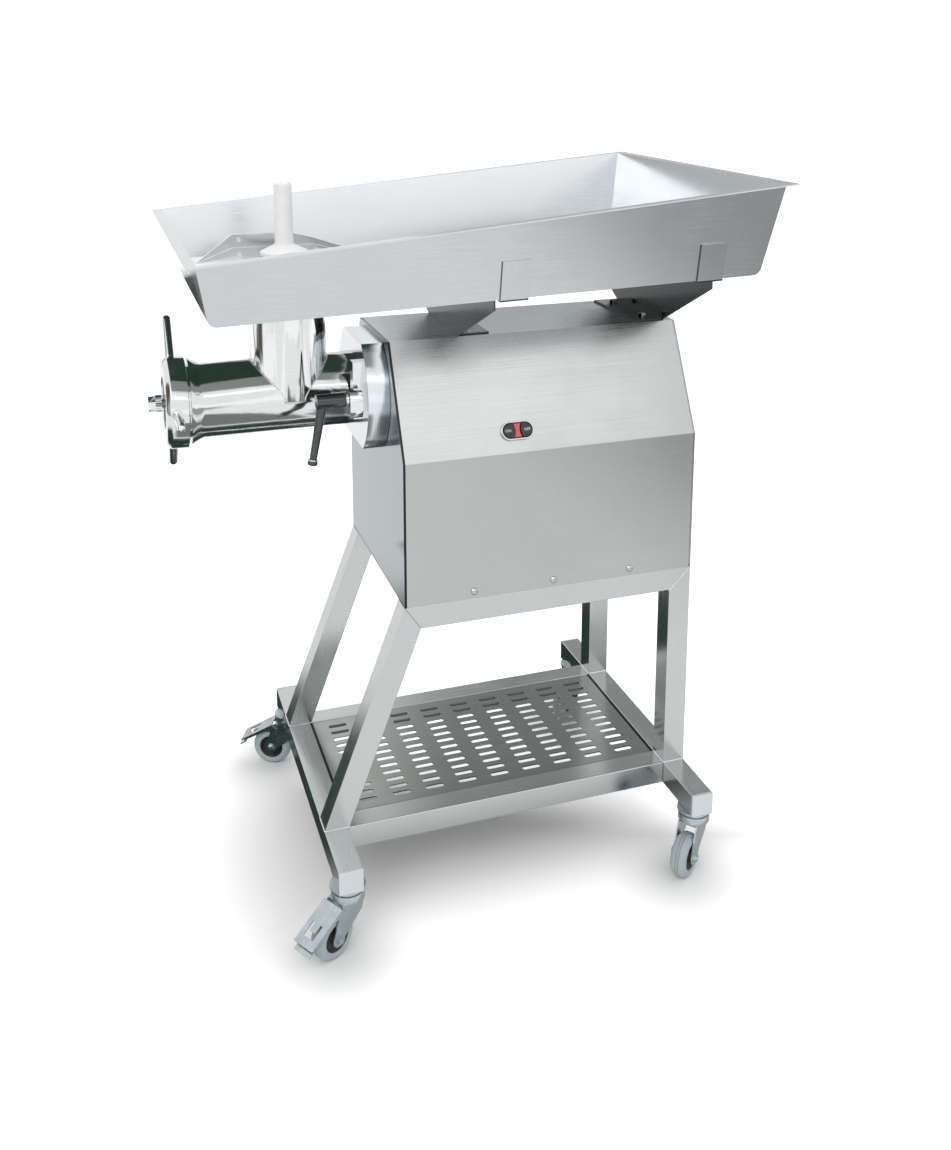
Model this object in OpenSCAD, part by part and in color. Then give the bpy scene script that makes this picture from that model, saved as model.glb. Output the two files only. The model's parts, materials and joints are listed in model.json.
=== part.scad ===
// Electric meat grinder on a castered stand.
// +X runs from the grinding head's outlet to the cabinet, +Z is up, z = 0 is the floor.

/* [Stand] */
// Length of the base frame
stand_l = 660; // [600:10:760]
// Width of the frame over its long rails
stand_w = 372; // [340:4:420]
// Side of the square tube
tube = 40; // [34:2:46]
// Wall of the square tube
tube_wall = 2; // [1.5:0.5:3]
// Length of the two cross rails that carry the casters
cross_l = 590; // [560:10:640]
// Height of the top frame above the base rails
rise = 374; // [330:2:420]
// How far the slanted legs lean in at the top
lean = 141; // [120:1:160]
// Thickness of the plates that close the cross rails
end_plate = 3; // [2:0.5:5]

/* [Shelf] */
// Thickness of the shelf plate
shelf_t = 2; // [1.5:0.5:3]
// Depth of the shelf's folded edges
shelf_lip = 18; // [12:1:30]
// Gap between the shelf and the rails on its two free edges
shelf_gap = 2; // [1:0.5:4]
// Length of a slot
slot_l = 34; // [20:1:36]
// Width of a slot
slot_w = 10; // [3:0.5:10]
// Number of slot columns along the shelf
slot_cols = 9; // [5:1:9]
// Number of slots in each column
slot_rows = 12; // [6:1:12]
// Distance between slot columns
slot_pitch_x = 60.3; // [50:0.1:62]
// Distance between slots in a column
slot_pitch_y = 22; // [18:0.5:22]

/* [Casters] */
// Height from the floor to the underside of the rails
caster_h = 110; // [105:1:120]
// Diameter of the wheels
wheel_d = 75; // [70:1:78]
// Width of the tyre
tread_w = 28; // [24:1:30]
// Diameter of the plastic wheel centre
hub_d = 46; // [40:1:52]
// Diameter of the axle bolt
axle_d = 8; // [6:1:10]
// Distance from the swivel axis to the axle
trail = 36; // [30:1:38]
// Distance from a cross rail's end to the swivel axis
swivel_inset = 29; // [26:1:40]
// Diameter of the swivel's top plate
swivel_d = 58; // [54:1:64]
// Thickness of the fork's steel
fork_t = 2.5; // [2:0.5:3.5]
// Width of the brake pedal
pedal_w = 42; // [41:1:46]
// Length of the brake pedal's plate
pedal_l = 74; // [66:1:78]
// Slope of the brake pedal
pedal_tilt = 30; // [26:1:34]

/* [Cabinet] */
// Height of the cabinet above the top frame
cab_h = 424; // [400:4:460]
// Height of its upright lower part
cab_wall_h = 244; // [220:4:264]
// Width of its flat top
cab_top_w = 194; // [186:2:220]
// Thickness of the cover's sheet
sheet = 1.5; // [1:0.5:2]
// Thickness of the two end walls
end_wall = 4; // [3:0.5:5]
// Height of the base plate's folded edges
base_lip = 26; // [22:1:40]
// Diameter of the domed screw heads
screw_head_d = 12; // [9:1:14]
// Height of the screws above the cabinet's lower edge
screw_h = 12; // [8:1:14]
// Distance from the left wall to the first screw
screw_x = 119; // [60:1:140]
// Distance between the screws
screw_pitch = 141; // [100:1:160]
// Outer diameter of the cable gland
gland_d = 24; // [20:1:30]
// Bore of the cable gland
gland_bore = 10; // [6:0.5:12]
// Length of the cable gland's cap outside the wall
gland_out = 18; // [14:1:24]
// Height of the gland above the cabinet's lower edge
gland_h = 60; // [45:1:90]

/* [Switch] */
// Length of the switch bezel
bezel_l = 57; // [56:1:70]
// Height of the switch bezel
bezel_h = 31; // [30:1:38]
// Width of the bezel's ring
bezel_rim = 2.5; // [2:0.5:5]
// Height of the bezel above the panel
bezel_t = 5; // [4:0.5:6]
// Depth of the switch behind the panel
switch_deep = 34; // [28:1:44]
// Distance from the left wall to the switch
switch_x = 198; // [160:1:260]
// Distance from the slope's lower edge up to the switch
switch_up = 36; // [24:1:80]
// Width of the lens between the push buttons
lens_w = 8; // [6:0.5:10]
// Travel of a push button
button_travel = 2.5; // [1.5:0.25:3]

/* [Control box] */
// Length of the control box
control_l = 110; // [80:5:130]
// Width of the control box
control_w = 54; // [40:2:56]
// Height of the control box
control_h = 80; // [60:2:100]
// Wall of the control box
control_wall = 3; // [2:0.5:4]

/* [Grinding head] */
// Distance from the cabinet's top down to the head's axis
head_drop = 97; // [92:1:105]
// Diameter of the mounting disc
disc_d = 225; // [215:1:228]
// Thickness of the mounting disc
disc_t = 37; // [30:1:45]
// Height of the disc over its two flats
disc_flats = 179; // [166:1:182]
// Length of the barrel in front of the disc
barrel_l = 254; // [240:2:280]
// Outer diameter of the barrel
barrel_d = 124; // [120:1:128]
// Length of the flare from the barrel to the ring nut
flare_l = 20; // [14:1:26]
// Diameter of the hole plate
plate_d = 100; // [98:0.5:102]
// Thickness of the hole plate
plate_t = 12; // [8:1:14]
// Diameter of the holes in the plate
plate_hole_d = 6; // [4:0.5:6]
// Thickness of the knife
knife_t = 10; // [8:1:12]
// Length of the barrel's threaded nose
nose_l = 30; // [28:1:34]
// Distance that the ring nut moves in one turn
thread_pitch = 4; // [3:0.5:4]
// Outer diameter of the ring nut
nut_d = 151; // [146:1:156]
// Length of the ring nut
nut_l = 35; // [32:1:36]
// Width of the ring nut's front chamfer
nut_chamfer = 8; // [4:1:12]
// Distance from the axis to the tips of the ring nut's handles
handle_reach = 150; // [130:1:160]
// Diameter of the handles
handle_d = 16; // [12:1:18]
// Distance from the disc to the throat's axis
throat_back = 109; // [100:1:125]
// Outer diameter of the throat
throat_d = 128; // [124:1:130]
// Wall of the throat
throat_wall = 5; // [4:0.5:6]
// Height of the pan's floor above the head's axis
throat_rise = 191; // [186:1:210]
// Diameter of the auger's flight
auger_d = 95; // [90:0.5:96]
// Diameter of the auger's core
auger_core_d = 40; // [34:1:50]
// Length of one turn of the auger's flight
auger_pitch = 66; // [54:2:80]
// Height of the clamp's lug beside the barrel
lug_h = 96; // [70:1:100]
// Thickness of the clamp's lug
lug_l = 18; // [14:1:22]
// Length of the clamp lever's arm
lever_l = 106; // [80:1:110]
// Diameter of the clamp lever's hub
lever_hub_d = 24; // [20:1:28]
// Length of the clamp lever's hub
lever_hub_l = 52; // [40:1:56]

/* [Drive] */
// Module of the motor stage
module_1 = 2.5; // [2:0.25:2.5]
// Teeth of the motor pinion
teeth_1 = 15; // [14:1:15]
// Teeth of the middle shaft's large gear
teeth_2 = 45; // [42:1:45]
// Module of the output stage
module_2 = 3; // [2.75:0.25:3]
// Teeth of the middle shaft's pinion
teeth_3 = 16; // [15:1:16]
// Teeth of the output gear
teeth_4 = 48; // [44:1:48]
// Width of the gears
gear_w = 22; // [16:1:24]
// Length of the gearbox
box_l = 117; // [110:1:125]
// Wall of the gearbox
box_wall = 10; // [8:1:12]
// Diameter of the motor
motor_d = 180; // [160:2:184]
// Length of the motor with its fan cowl
motor_l = 310; // [290:2:320]
// Diameter of the rotor
rotor_d = 108; // [90:2:116]
// Length of the iron core in the motor
stack_l = 120; // [100:5:140]
// Diameter of the output shaft
out_shaft_d = 40; // [34:1:42]
// Diameter of the middle shaft
mid_shaft_d = 20; // [16:1:24]
// Diameter of the motor shaft
motor_shaft_d = 24; // [20:1:26]

/* [Feed pan] */
// Length of the pan's opening
pan_l = 911; // [860:1:930]
// Width of the pan's opening
pan_w = 614; // [590:2:640]
// Distance from the throat's axis to the opening's outlet end
pan_front = 171; // [150:1:190]
// Depth of the pan above the throat
pan_depth = 99.7; // [90:0.1:110]
// Fall of the floor towards the throat, as height over length
floor_fall = 0.025; // [0.01:0.005:0.04]
// Fall of the rim towards the throat, as height over length
rim_fall = 0.087; // [0.06:0.001:0.1]
// Inward slope of the walls, as width over height
pan_taper = 0.18; // [0.1:0.01:0.25]
// Width of the rim's flange
pan_flange = 16; // [10:1:24]
// Thickness of the pan's sheet
pan_sheet = 2; // [1.5:0.5:3]
// Inner radius of the bends between the floor and the end walls
bend_r = 12; // [8:1:30]
// Depth of the collar that enters the throat
collar_l = 14; // [8:1:20]
// Thickness of the guard's sheet
guard_t = 2; // [1.5:0.5:3]
// Height of the guard's flat above the pan's floor
guard_h = 41; // [34:1:48]
// Width of the guard
guard_w = 184; // [170:2:200]
// Length of the guard's flat on the outlet side of the throat's axis
guard_left = 73; // [60:1:80]
// Length of the guard's flat on the other side
guard_right = 65; // [50:1:80]
// Height of the guard's upright edge
guard_edge = 23; // [16:1:30]
// Length of the slot in the guard
guard_slot = 14; // [10:1:20]

/* [Pusher] */
// Diameter of the pusher's grip
grip_d = 30; // [24:1:34]
// Height of the pusher above the guard
grip_h = 119; // [100:1:140]
// Diameter of the plunger
plunger_d = 56; // [50:1:64]
// Length of the plunger below the guard
plunger_l = 122; // [100:1:126]
// Diameter of the collar that rests on the guard
stop_d = 80; // [74:1:90]

/* [Brackets] */
// Thickness of the brackets
bracket_t = 3; // [2:0.5:4]
// Distance from the cabinet's left wall to the left bracket
bracket_x = 125; // [110:1:140]
// Distance from the cabinet's right end to the right bracket
bracket_back = 18; // [2:1:20]
// Width of the brackets' feet
foot_w = 52; // [40:1:60]
// Length of the brackets' feet
foot_l = 180; // [150:2:184]
// Width of the tabs that hold the pan's walls
tab_w = 45; // [30:1:50]
// Height of the tabs
tab_h = 60; // [40:1:70]
// Diameter of the bracket bolts
bolt_d = 8; // [6:1:10]

/* [Clearances] */
// Radial clearance of a running fit
run_gap = 0.05; // [0.02:0.01:0.1]
// Gap between pieces that move past each other
free_gap = 0.5; // [0.4:0.1:1]
// Gap between pieces that rest on each other
seat_gap = 0.2; // [0.1:0.05:0.3]
// Gap around a fixed piece in its seat
fix_gap = 0.1; // [0.05:0.05:0.2]

/* [Hidden] */
$fn = 64;
eps = 1;

// Heights of the frame
rail_z = caster_h;
deck_z = rail_z + tube;
top_z = deck_z + rise;
leg_len = sqrt(rise * rise + lean * lean);
leg_foot = tube * leg_len / rise;
leg_tilt = atan2(lean, rise);
inner_w = stand_w - 2 * tube;
bar_y = (stand_w - tube) / 2;

// Cabinet
cab_x0 = lean;
cab_x1 = stand_l;
cab_z1 = top_z + cab_h;
slope_y = (stand_w - cab_top_w) / 2;
slope_z = cab_h - cab_wall_h;
slope_len = sqrt(slope_y * slope_y + slope_z * slope_z);
face_tilt = atan2(slope_z, slope_y);
cover_x0 = cab_x0 + end_wall;
cover_x1 = cab_x1 - end_wall;
base_t = 2;
screw_d = screw_head_d / 2;
nut_h = 6;
gland_neck_d = gland_d - 6;
gland_nut_l = 8;
gland_tip_l = 6;
gland_z = top_z + gland_h;
gland_y = stand_w / 4;

// Switch
inset_l = bezel_l - 2 * bezel_rim;
inset_h = bezel_h - 2 * bezel_rim;
face_z = 2;
well_rim = 1.5;
well_z = 4 - switch_deep;
button_r = 22;
button_c = lens_w / 2 + well_rim + button_r;
button_z = face_z + button_travel + 1.5;
lens_deep = 6;

// Grinding head, from the disc towards the outlet
head_z = cab_z1 - head_drop;
disc_x = cab_x0 - disc_t;
barrel_x = disc_x - barrel_l;
nose_x = barrel_x - flare_l - nose_l;
nose_d = barrel_d - 4;
plate_out = 3;
plate_x = nose_x - plate_out;
knife_x = plate_x + plate_t + fix_gap;
auger_x = knife_x + knife_t;
nut_lip = 6;
nut_x = plate_x - nut_lip;
handle_x = nut_x + nut_chamfer + handle_d / 2;
nut_open_d = plate_d - 12;
nut_turns = 2;
nut_travel = nut_turns * thread_pitch;
chamber_x = auger_x + 3;
bore_d = auger_d + 2;
head_wall = 12;
auger_end = disc_x - head_wall - 2;
spigot_d = 100;
spigot_l = 30;
spigot_bore = 60;
journal_d = 40;
tang = 22;
tang_l = 18;
tang_x = disc_x + 2;
square = 20;
stud_d = 14;
collar_x = plate_x - nut_travel - 1;
collar_t = 10;
stud_nut_t = 11;
tip_x = collar_x - collar_t - stud_nut_t;
pin_in = 14;
throat_x = disc_x - throat_back;
throat_bore = throat_d - 2 * throat_wall;

// Clamp on the disc's face beside the barrel
lug_w = 20;
lug_y = -barrel_d / 2 - lug_w / 2 - 2;
boss_d = 32;
boss_l = 12;
boss_drop = 16;
lever_y = lug_y - 26;
lug_rise = 16;
lever_z = head_z + lug_rise / 2;
lever_x = disc_x - lug_l - boss_l - free_gap - lever_hub_l;
lever_lean = 11;
clamp_pin_d = 12;

// Drive
centre_1 = module_1 * (teeth_1 + teeth_2) / 2;
centre_2 = module_2 * (teeth_3 + teeth_4) / 2;
mid_z = head_z - centre_2;
motor_z = mid_z - centre_1;
box_x0 = cover_x0;
box_x1 = box_x0 + box_l;
gear_gap = 8;
stage_2_x = box_x0 + box_wall + 14;
stage_1_x = stage_2_x + gear_w + gear_gap;
out_end = box_x1 - 1;
out_bearing_d = out_shaft_d + 32;
mid_bearing_d = mid_shaft_d + 20;
box_half_w = teeth_4 * module_2 / 2 + module_2 + 14;
box_top = head_z + teeth_4 * module_2 / 2 + module_2 + 12;
box_sump = 44;
box_low = motor_z - box_sump;
motor_x0 = box_x1;
motor_x1 = motor_x0 + motor_l;
motor_wall = 14;
cowl_l = 48;
cowl_t = 3;
rib_h = 6;
rib_w = 3;
ribs = 24;
shell_d = motor_d - 2 * rib_h;
shell_t = 6;
air_gap = 1;
motor_room = motor_l - cowl_l - 2 * motor_wall;
end_room = (motor_room - stack_l) / 2;
fan_w = 20;
fan_inset = 20;
fan_d = motor_d - 2 * fan_inset;
fan_hub_d = motor_shaft_d + 16;
blades = 8;
shaft_nose_d = out_shaft_d + 8;

// Feed pan
throat_z = head_z + throat_rise;
pan_x0 = throat_x - pan_front;
pan_x1 = pan_x0 + pan_l;
pan_y = pan_w / 2;
side_sheet = pan_sheet * sqrt(1 + pan_taper * pan_taper);
function floor_z(x) = throat_z + floor_fall * (x - throat_x);
function rim_z(x) = throat_z + pan_depth + rim_fall * (x - throat_x);
fall = rim_fall - floor_fall;
deck = floor_z(throat_x) + guard_h;
guard_top = deck + guard_t;

// Brackets
web_x0 = cab_x0 + bracket_x;
web_x1 = cab_x1 - bracket_back;

// Casters
wheel_r = wheel_d / 2;
swivel_y = cross_l / 2 - swivel_inset;
fork_in = tread_w / 2 + 1.5;
fork_out = fork_in + fork_t;
crown_z = caster_h - 22;
top_t = 4;
pin_d = 12;
pedal_rise = 4.5;
pedal_up = wheel_r + pedal_rise;
pedal_back = 30;
pedal_t = 2;
pedal_pin_d = 5;
pedal_ear = 2;
crown_t = 3;
crown_back = 21;
crown_front = 27;
hinge_x = trail - 8;
hinge_z = crown_z - 6;
// Direction in which each caster trails: front left, front right, back left, back right
headings = [210, 219, 154, 217];
swivel_x = [tube / 2, stand_l - tube / 2, tube / 2, stand_l - tube / 2];
swivel_side = [-1, -1, 1, 1];

// Middle of the whole object, which is moved to the origin
mid_x = (tip_x + pan_x1 + pan_flange) / 2;
pedal_tip = trail + (pedal_up + pedal_t) * sin(pedal_tilt)
    + (pedal_l - pedal_back) * cos(pedal_tilt);
function pedal_reach(i) = swivel_y + pedal_tip * abs(sin(headings[i])) + pedal_w / 2 * abs(cos(headings[i]));
pan_reach = pan_y + pan_flange;
mid_y = (max(pan_reach, pedal_reach(2)) - max(pan_reach, pedal_reach(0))) / 2;

// ---- Helpers ----

// Moves the object's middle to the origin
module placed() { translate([-mid_x, -mid_y, 0]) children(); }

// A solid of revolution or extrusion whose own Z runs along X
module along_x(x, z, y = 0) { translate([x, y, z]) rotate([0, 90, 0]) children(); }

module ring(d, bore, h) {
    difference() {
        cylinder(d = d, h = h);
        translate([0, 0, -eps]) cylinder(d = bore, h = h + 2 * eps);
    }
}

// A hollow square tube lying along X from x = 0, in the middle of its section
module tube_bar(length) {
    inside = tube - 2 * tube_wall;
    difference() {
        translate([0, -tube / 2, -tube / 2]) cube([length, tube, tube]);
        translate([-eps, -inside / 2, -inside / 2]) cube([length + 2 * eps, inside, inside]);
    }
}

// A prism standing across Y, from an outline in X and Z
module across_y(y0, y1) {
    translate([0, y1, 0]) rotate([90, 0, 0]) linear_extrude(y1 - y0) children();
}

// A prism lying along X, from an outline in Y and Z
module yz_prism(x0, x1) {
    translate([x0, 0, 0]) rotate([90, 0, 90]) linear_extrude(x1 - x0) children();
}

// A solid with eight corners, the lower four first, both anticlockwise from above
module block8(p) {
    polyhedron(points = p, faces = [[0, 1, 2, 3], [4, 5, 1, 0], [7, 6, 5, 4],
        [5, 6, 2, 1], [6, 7, 3, 2], [7, 4, 0, 3]]);
}

// Repeats its children on both sides of the centre plane
module both_sides() {
    children();
    mirror([0, 1, 0]) children();
}

// ---- Stand ----

module cross_rails() color("lightgray") placed() {
    for (x = [tube / 2, stand_l - tube / 2])
        translate([x, -cross_l / 2 + end_plate, rail_z + tube / 2])
            rotate([0, 0, 90]) tube_bar(cross_l - 2 * end_plate);
}

module base_long_rails() color("lightgray") placed() both_sides()
    translate([tube, -bar_y, rail_z + tube / 2]) tube_bar(stand_l - 2 * tube);

// Outline of a slanted leg, cut level at the foot and mitred at the top
module left_leg_outline() {
    polygon([[0, deck_z], [leg_foot, deck_z],
        [leg_foot + lean * (rise - tube) / rise, top_z - tube], [lean, top_z]]);
}

module legs() color("lightgray") placed() both_sides() {
    intersection() {
        across_y(-stand_w / 2, -stand_w / 2 + tube) left_leg_outline();
        translate([leg_foot / 2, -bar_y, deck_z]) rotate([0, leg_tilt - 90, 0])
            translate([-2 * tube, 0, 0]) tube_bar(leg_len + 4 * tube);
    }
    intersection() {
        across_y(-stand_w / 2, -stand_w / 2 + tube)
            polygon([[stand_l - tube, deck_z], [stand_l, deck_z], [stand_l, top_z],
                [stand_l - tube, top_z - tube]]);
        translate([stand_l - tube / 2, -bar_y, deck_z - eps]) rotate([0, -90, 0])
            tube_bar(rise + 2 * eps);
    }
}

module top_long_rails() color("lightgray") placed() both_sides() intersection() {
    across_y(-stand_w / 2, -stand_w / 2 + tube)
        polygon([[lean, top_z], [leg_foot + lean * (rise - tube) / rise, top_z - tube],
            [stand_l - tube, top_z - tube], [stand_l, top_z]]);
    translate([0, -bar_y, top_z - tube / 2]) tube_bar(stand_l + eps);
}

module top_cross_rails() color("lightgray") placed() {
    for (x = [leg_foot + lean * (rise - tube) / rise + tube / 2, stand_l - tube / 2])
        translate([x, -inner_w / 2, top_z - tube / 2]) rotate([0, 0, 90]) tube_bar(inner_w);
}

module rail_end_plates() color("silver") placed() both_sides() {
    for (x = [0, stand_l - tube])
        translate([x, -cross_l / 2, rail_z]) cube([tube, end_plate, tube]);
}

// ---- Shelf ----

module slot() {
    for (s = [-1, 1])
        translate([s * (slot_l - slot_w) / 2, 0, 0]) cylinder(d = slot_w, h = shelf_t + 2 * eps);
    translate([-(slot_l - slot_w) / 2, -slot_w / 2, 0])
        cube([slot_l - slot_w, slot_w, shelf_t + 2 * eps]);
}

module shelf_plate() color("gray") placed() {
    shelf_l = stand_l - 2 * tube - shelf_gap;
    shelf_w = inner_w - shelf_gap;
    x0 = tube;
    y0 = -inner_w / 2;
    difference() {
        translate([x0, y0, deck_z - shelf_lip]) cube([shelf_l, shelf_w, shelf_lip]);
        translate([x0 + shelf_t, y0 + shelf_t, deck_z - shelf_lip - eps])
            cube([shelf_l - 2 * shelf_t, shelf_w - 2 * shelf_t, shelf_lip - shelf_t + eps]);
        for (i = [0 : slot_cols - 1], j = [0 : slot_rows - 1])
            translate([x0 + shelf_l / 2 + (i - (slot_cols - 1) / 2) * slot_pitch_x,
                y0 + shelf_w / 2 + (j - (slot_rows - 1) / 2) * slot_pitch_y,
                deck_z - shelf_t - eps]) slot();
    }
}

// ---- Cabinet ----

// Section of the cabinet in Y and Z, drawn in by a sheet's thickness where wanted
module cabinet_section(t = 0) {
    top_in = t * (slope_len - slope_y) / slope_z;
    low = stand_w / 2 - t;
    knee = top_z + cab_wall_h - t * (slope_len - slope_z) / slope_y;
    crest = cab_top_w / 2 - top_in;
    polygon([[-low, top_z - (t > 0 ? eps : 0)], [low, top_z - (t > 0 ? eps : 0)], [low, knee],
        [crest, cab_z1 - t], [-crest, cab_z1 - t], [-low, knee]]);
}

// Puts its children on the front slope, with Z out of the panel and Y up it
module on_slope() {
    translate([cab_x0 + switch_x, -stand_w / 2, top_z + cab_wall_h])
        rotate([face_tilt, 0, 0]) translate([0, switch_up, 0]) children();
}

// Places of the screws through one side of the cover
module screw_places() {
    for (i = [0 : 2])
        translate([cab_x0 + screw_x + i * screw_pitch, -stand_w / 2, top_z + screw_h])
            rotate([90, 0, 0]) children();
}

// Places of the bolts through the brackets' feet
module bolt_places() {
    for (x = [web_x0 + foot_w / 2, web_x1 - foot_w / 2], y = [-foot_l / 3, foot_l / 3])
        translate([x, y, cab_z1]) children();
}

module cabinet_cover() color("gainsboro") placed() difference() {
    yz_prism(cover_x0, cover_x1) cabinet_section();
    yz_prism(cover_x0 - eps, cover_x1 + eps) cabinet_section(sheet);
    on_slope() translate([0, 0, -2 * sheet]) linear_extrude(4 * sheet)
        stadium(inset_l, inset_h);
    both_sides() screw_places() translate([0, 0, -sheet - eps])
        cylinder(d = screw_d + 2 * fix_gap, h = sheet + 2 * eps);
    bolt_places() translate([0, 0, -sheet - eps])
        cylinder(d = bolt_d + 2 * fix_gap, h = sheet + 2 * eps);
}

module left_wall() color("lightsteelblue") placed() difference() {
    yz_prism(cab_x0, cover_x0) cabinet_section();
    along_x(cab_x0 - eps, head_z) cylinder(d = spigot_bore, h = end_wall + 2 * eps);
}

module right_wall() color("lightsteelblue") placed() difference() {
    yz_prism(cover_x1, cab_x1) cabinet_section();
    along_x(cover_x1 - eps, gland_z, gland_y)
        cylinder(d = gland_neck_d + 2 * fix_gap, h = end_wall + 2 * eps);
}

module base_plate() color("silver") placed() difference() {
    half = stand_w / 2 - sheet - fix_gap;
    translate([cover_x0, -half, top_z]) cube([cover_x1 - cover_x0, 2 * half, base_lip]);
    translate([cover_x0 - eps, -half + base_t, top_z + base_t])
        cube([cover_x1 - cover_x0 + 2 * eps, 2 * (half - base_t), base_lip]);
    both_sides() screw_places() translate([0, 0, -sheet - base_t - 1.5 * eps])
        cylinder(d = screw_d + 2 * fix_gap, h = base_t + 2 * eps);
}

// A domed head on a plain shank
module dome_screw(head, shank, length) {
    dome_r = head * 0.625;
    dome_h = head * 0.35;
    translate([0, 0, -length]) cylinder(d = shank, h = length + eps / 10);
    intersection() {
        translate([0, 0, dome_h - dome_r]) sphere(r = dome_r);
        cylinder(d = head, h = head);
    }
}

module cover_screws() color("white") placed() both_sides() screw_places()
    dome_screw(screw_head_d, screw_d, sheet + base_t + nut_h);

module cable_gland() color("dimgray") placed() difference() {
    total = gland_nut_l + end_wall + gland_out;
    along_x(cover_x1 - gland_nut_l, gland_z, gland_y) {
        cylinder(d = gland_d, h = gland_nut_l - fix_gap);
        cylinder(d = gland_neck_d, h = total);
        translate([0, 0, gland_nut_l + end_wall])
            cylinder(d = gland_d, h = gland_out - gland_tip_l);
    }
    along_x(cover_x1 - gland_nut_l - eps, gland_z, gland_y)
        cylinder(d = gland_bore, h = total + 2 * eps);
}

// ---- Switch ----

// A bar's outline with round ends, w long and h high
module stadium(w, h) {
    for (s = [-1, 1]) translate([s * (w - h) / 2, 0]) circle(d = h);
    square([w - h, h], center = true);
}

// Outline of the left or right button, grown by extra
module button_shape(side, extra) intersection() {
    stadium(inset_l - 2 * well_rim + 2 * extra, inset_h - 2 * well_rim + 2 * extra);
    translate([side * button_c, 0]) circle(r = button_r + extra);
}

// Outline of the lens, waisted between the two buttons
module lens_shape(shrink) difference() {
    stadium(inset_l - 2 * well_rim - 2 * shrink, inset_h - 2 * well_rim - 2 * shrink);
    for (s = [-1, 1]) translate([s * button_c, 0]) circle(r = button_r + well_rim + shrink);
}

module switch_bezel() color("white") placed() on_slope() difference() {
    linear_extrude(bezel_t) stadium(bezel_l, bezel_h);
    translate([0, 0, -eps]) linear_extrude(bezel_t + 2 * eps) stadium(inset_l, inset_h);
}

module switch_body() color("black") placed() on_slope() difference() {
    translate([0, 0, -switch_deep]) linear_extrude(switch_deep + face_z)
        stadium(inset_l - 2 * fix_gap, inset_h - 2 * fix_gap);
    for (s = [-1, 1]) translate([0, 0, well_z]) linear_extrude(switch_deep + face_z)
        button_shape(s, free_gap);
    translate([0, 0, -lens_deep]) linear_extrude(lens_deep + 2 * face_z) lens_shape(0);
}

module button_cap(side) {
    low = well_z + button_travel + free_gap;
    translate([0, 0, low]) linear_extrude(button_z - low) button_shape(side, 0);
}

module start_button() color("darkslategray") placed() on_slope() button_cap(-1);

module stop_button() color("darkslategray") placed() on_slope() button_cap(1);

module pilot_lens() color("red") placed() on_slope()
    translate([0, 0, -lens_deep]) linear_extrude(lens_deep + bezel_t - 1) lens_shape(fix_gap);

module control_box() color("dimgray") placed() {
    size = [control_l, control_w, control_h];
    wall = control_wall * [1, 1, 1];
    translate([motor_x1 - size.x - motor_wall, -stand_w / 2 + 16, top_z + base_t]) difference() {
        cube(size);
        translate(wall) cube(size - 2 * wall);
    }
}

// ---- Drive ----

// Outline of a spur gear with straight-sided teeth and some backlash, first tooth at angle a
module gear_outline(m, teeth, a) {
    r = m * teeth / 2;
    step = 360 / teeth;
    polygon([for (i = [0 : teeth - 1], k = [0 : 3])
        let (side = [-0.33, -0.13, 0.13, 0.33][k], rad = [r - 1.25 * m, r + 0.85 * m,
            r + 0.85 * m, r - 1.25 * m][k], t = a + (i + side) * step)
        [rad * cos(t), rad * sin(t)]]);
}

module gearbox_case() color("darkgray") placed() difference() {
    yz_prism(box_x0, box_x1) polygon([[-box_half_w * 0.6, box_low], [box_half_w * 0.6, box_low],
        [box_half_w, mid_z], [box_half_w, box_top], [-box_half_w, box_top],
        [-box_half_w, mid_z]]);
    yz_prism(box_x0 + box_wall, box_x1 - box_wall)
        polygon([[-box_half_w * 0.6 + box_wall, box_low + box_wall],
            [box_half_w * 0.6 - box_wall, box_low + box_wall],
            [box_half_w - box_wall, mid_z], [box_half_w - box_wall, box_top - box_wall],
            [-box_half_w + box_wall, box_top - box_wall], [-box_half_w + box_wall, mid_z]]);
    along_x(box_x0 - eps, head_z) cylinder(d = out_bearing_d, h = box_l + 2 * eps);
    along_x(box_x0 - eps, mid_z) cylinder(d = mid_bearing_d, h = box_l + 2 * eps);
    along_x(box_x1 - box_wall - eps, motor_z)
        cylinder(d = motor_shaft_d + 12, h = box_wall + 2 * eps);
}

module shaft_bearings() color("silver") placed() {
    for (x = [box_x0, box_x1 - box_wall]) {
        along_x(x, head_z)
            ring(out_bearing_d - 2 * fix_gap, out_shaft_d + 2 * run_gap, box_wall);
        along_x(x, mid_z)
            ring(mid_bearing_d - 2 * fix_gap, mid_shaft_d + 2 * run_gap, box_wall);
    }
}

module motor_body() color("slategray") placed() along_x(motor_x0, motor_z) difference() {
    union() {
        cylinder(d = motor_d, h = motor_wall);
        cylinder(d = shell_d, h = motor_l);
        for (i = [0 : ribs - 1]) rotate([0, 0, i * 360 / ribs])
            translate([shell_d / 2 - eps, -rib_w / 2, motor_wall])
                cube([rib_h, rib_w, motor_room]);
    }
    translate([0, 0, -eps]) cylinder(d = motor_shaft_d + 2 * run_gap, h = motor_l);
    translate([0, 0, motor_wall]) cylinder(d = rotor_d + 2 * air_gap, h = motor_room);
    for (z = [motor_wall, motor_wall + end_room + stack_l])
        translate([0, 0, z]) cylinder(d = shell_d - 2 * shell_t, h = end_room);
    translate([0, 0, motor_l - cowl_l])
        cylinder(d = shell_d - 2 * cowl_t, h = cowl_l - cowl_t);
    translate([0, 0, motor_l - cowl_t - eps])
        cylinder(d = fan_d - fan_hub_d, h = cowl_t + 2 * eps);
}

module motor_rotor() color("gray") placed() {
    along_x(stage_1_x, motor_z)
        cylinder(d = motor_shaft_d, h = motor_x1 - cowl_t - 10 - stage_1_x);
    along_x(motor_x0 + motor_wall + end_room, motor_z) cylinder(d = rotor_d, h = stack_l);
}

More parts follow.
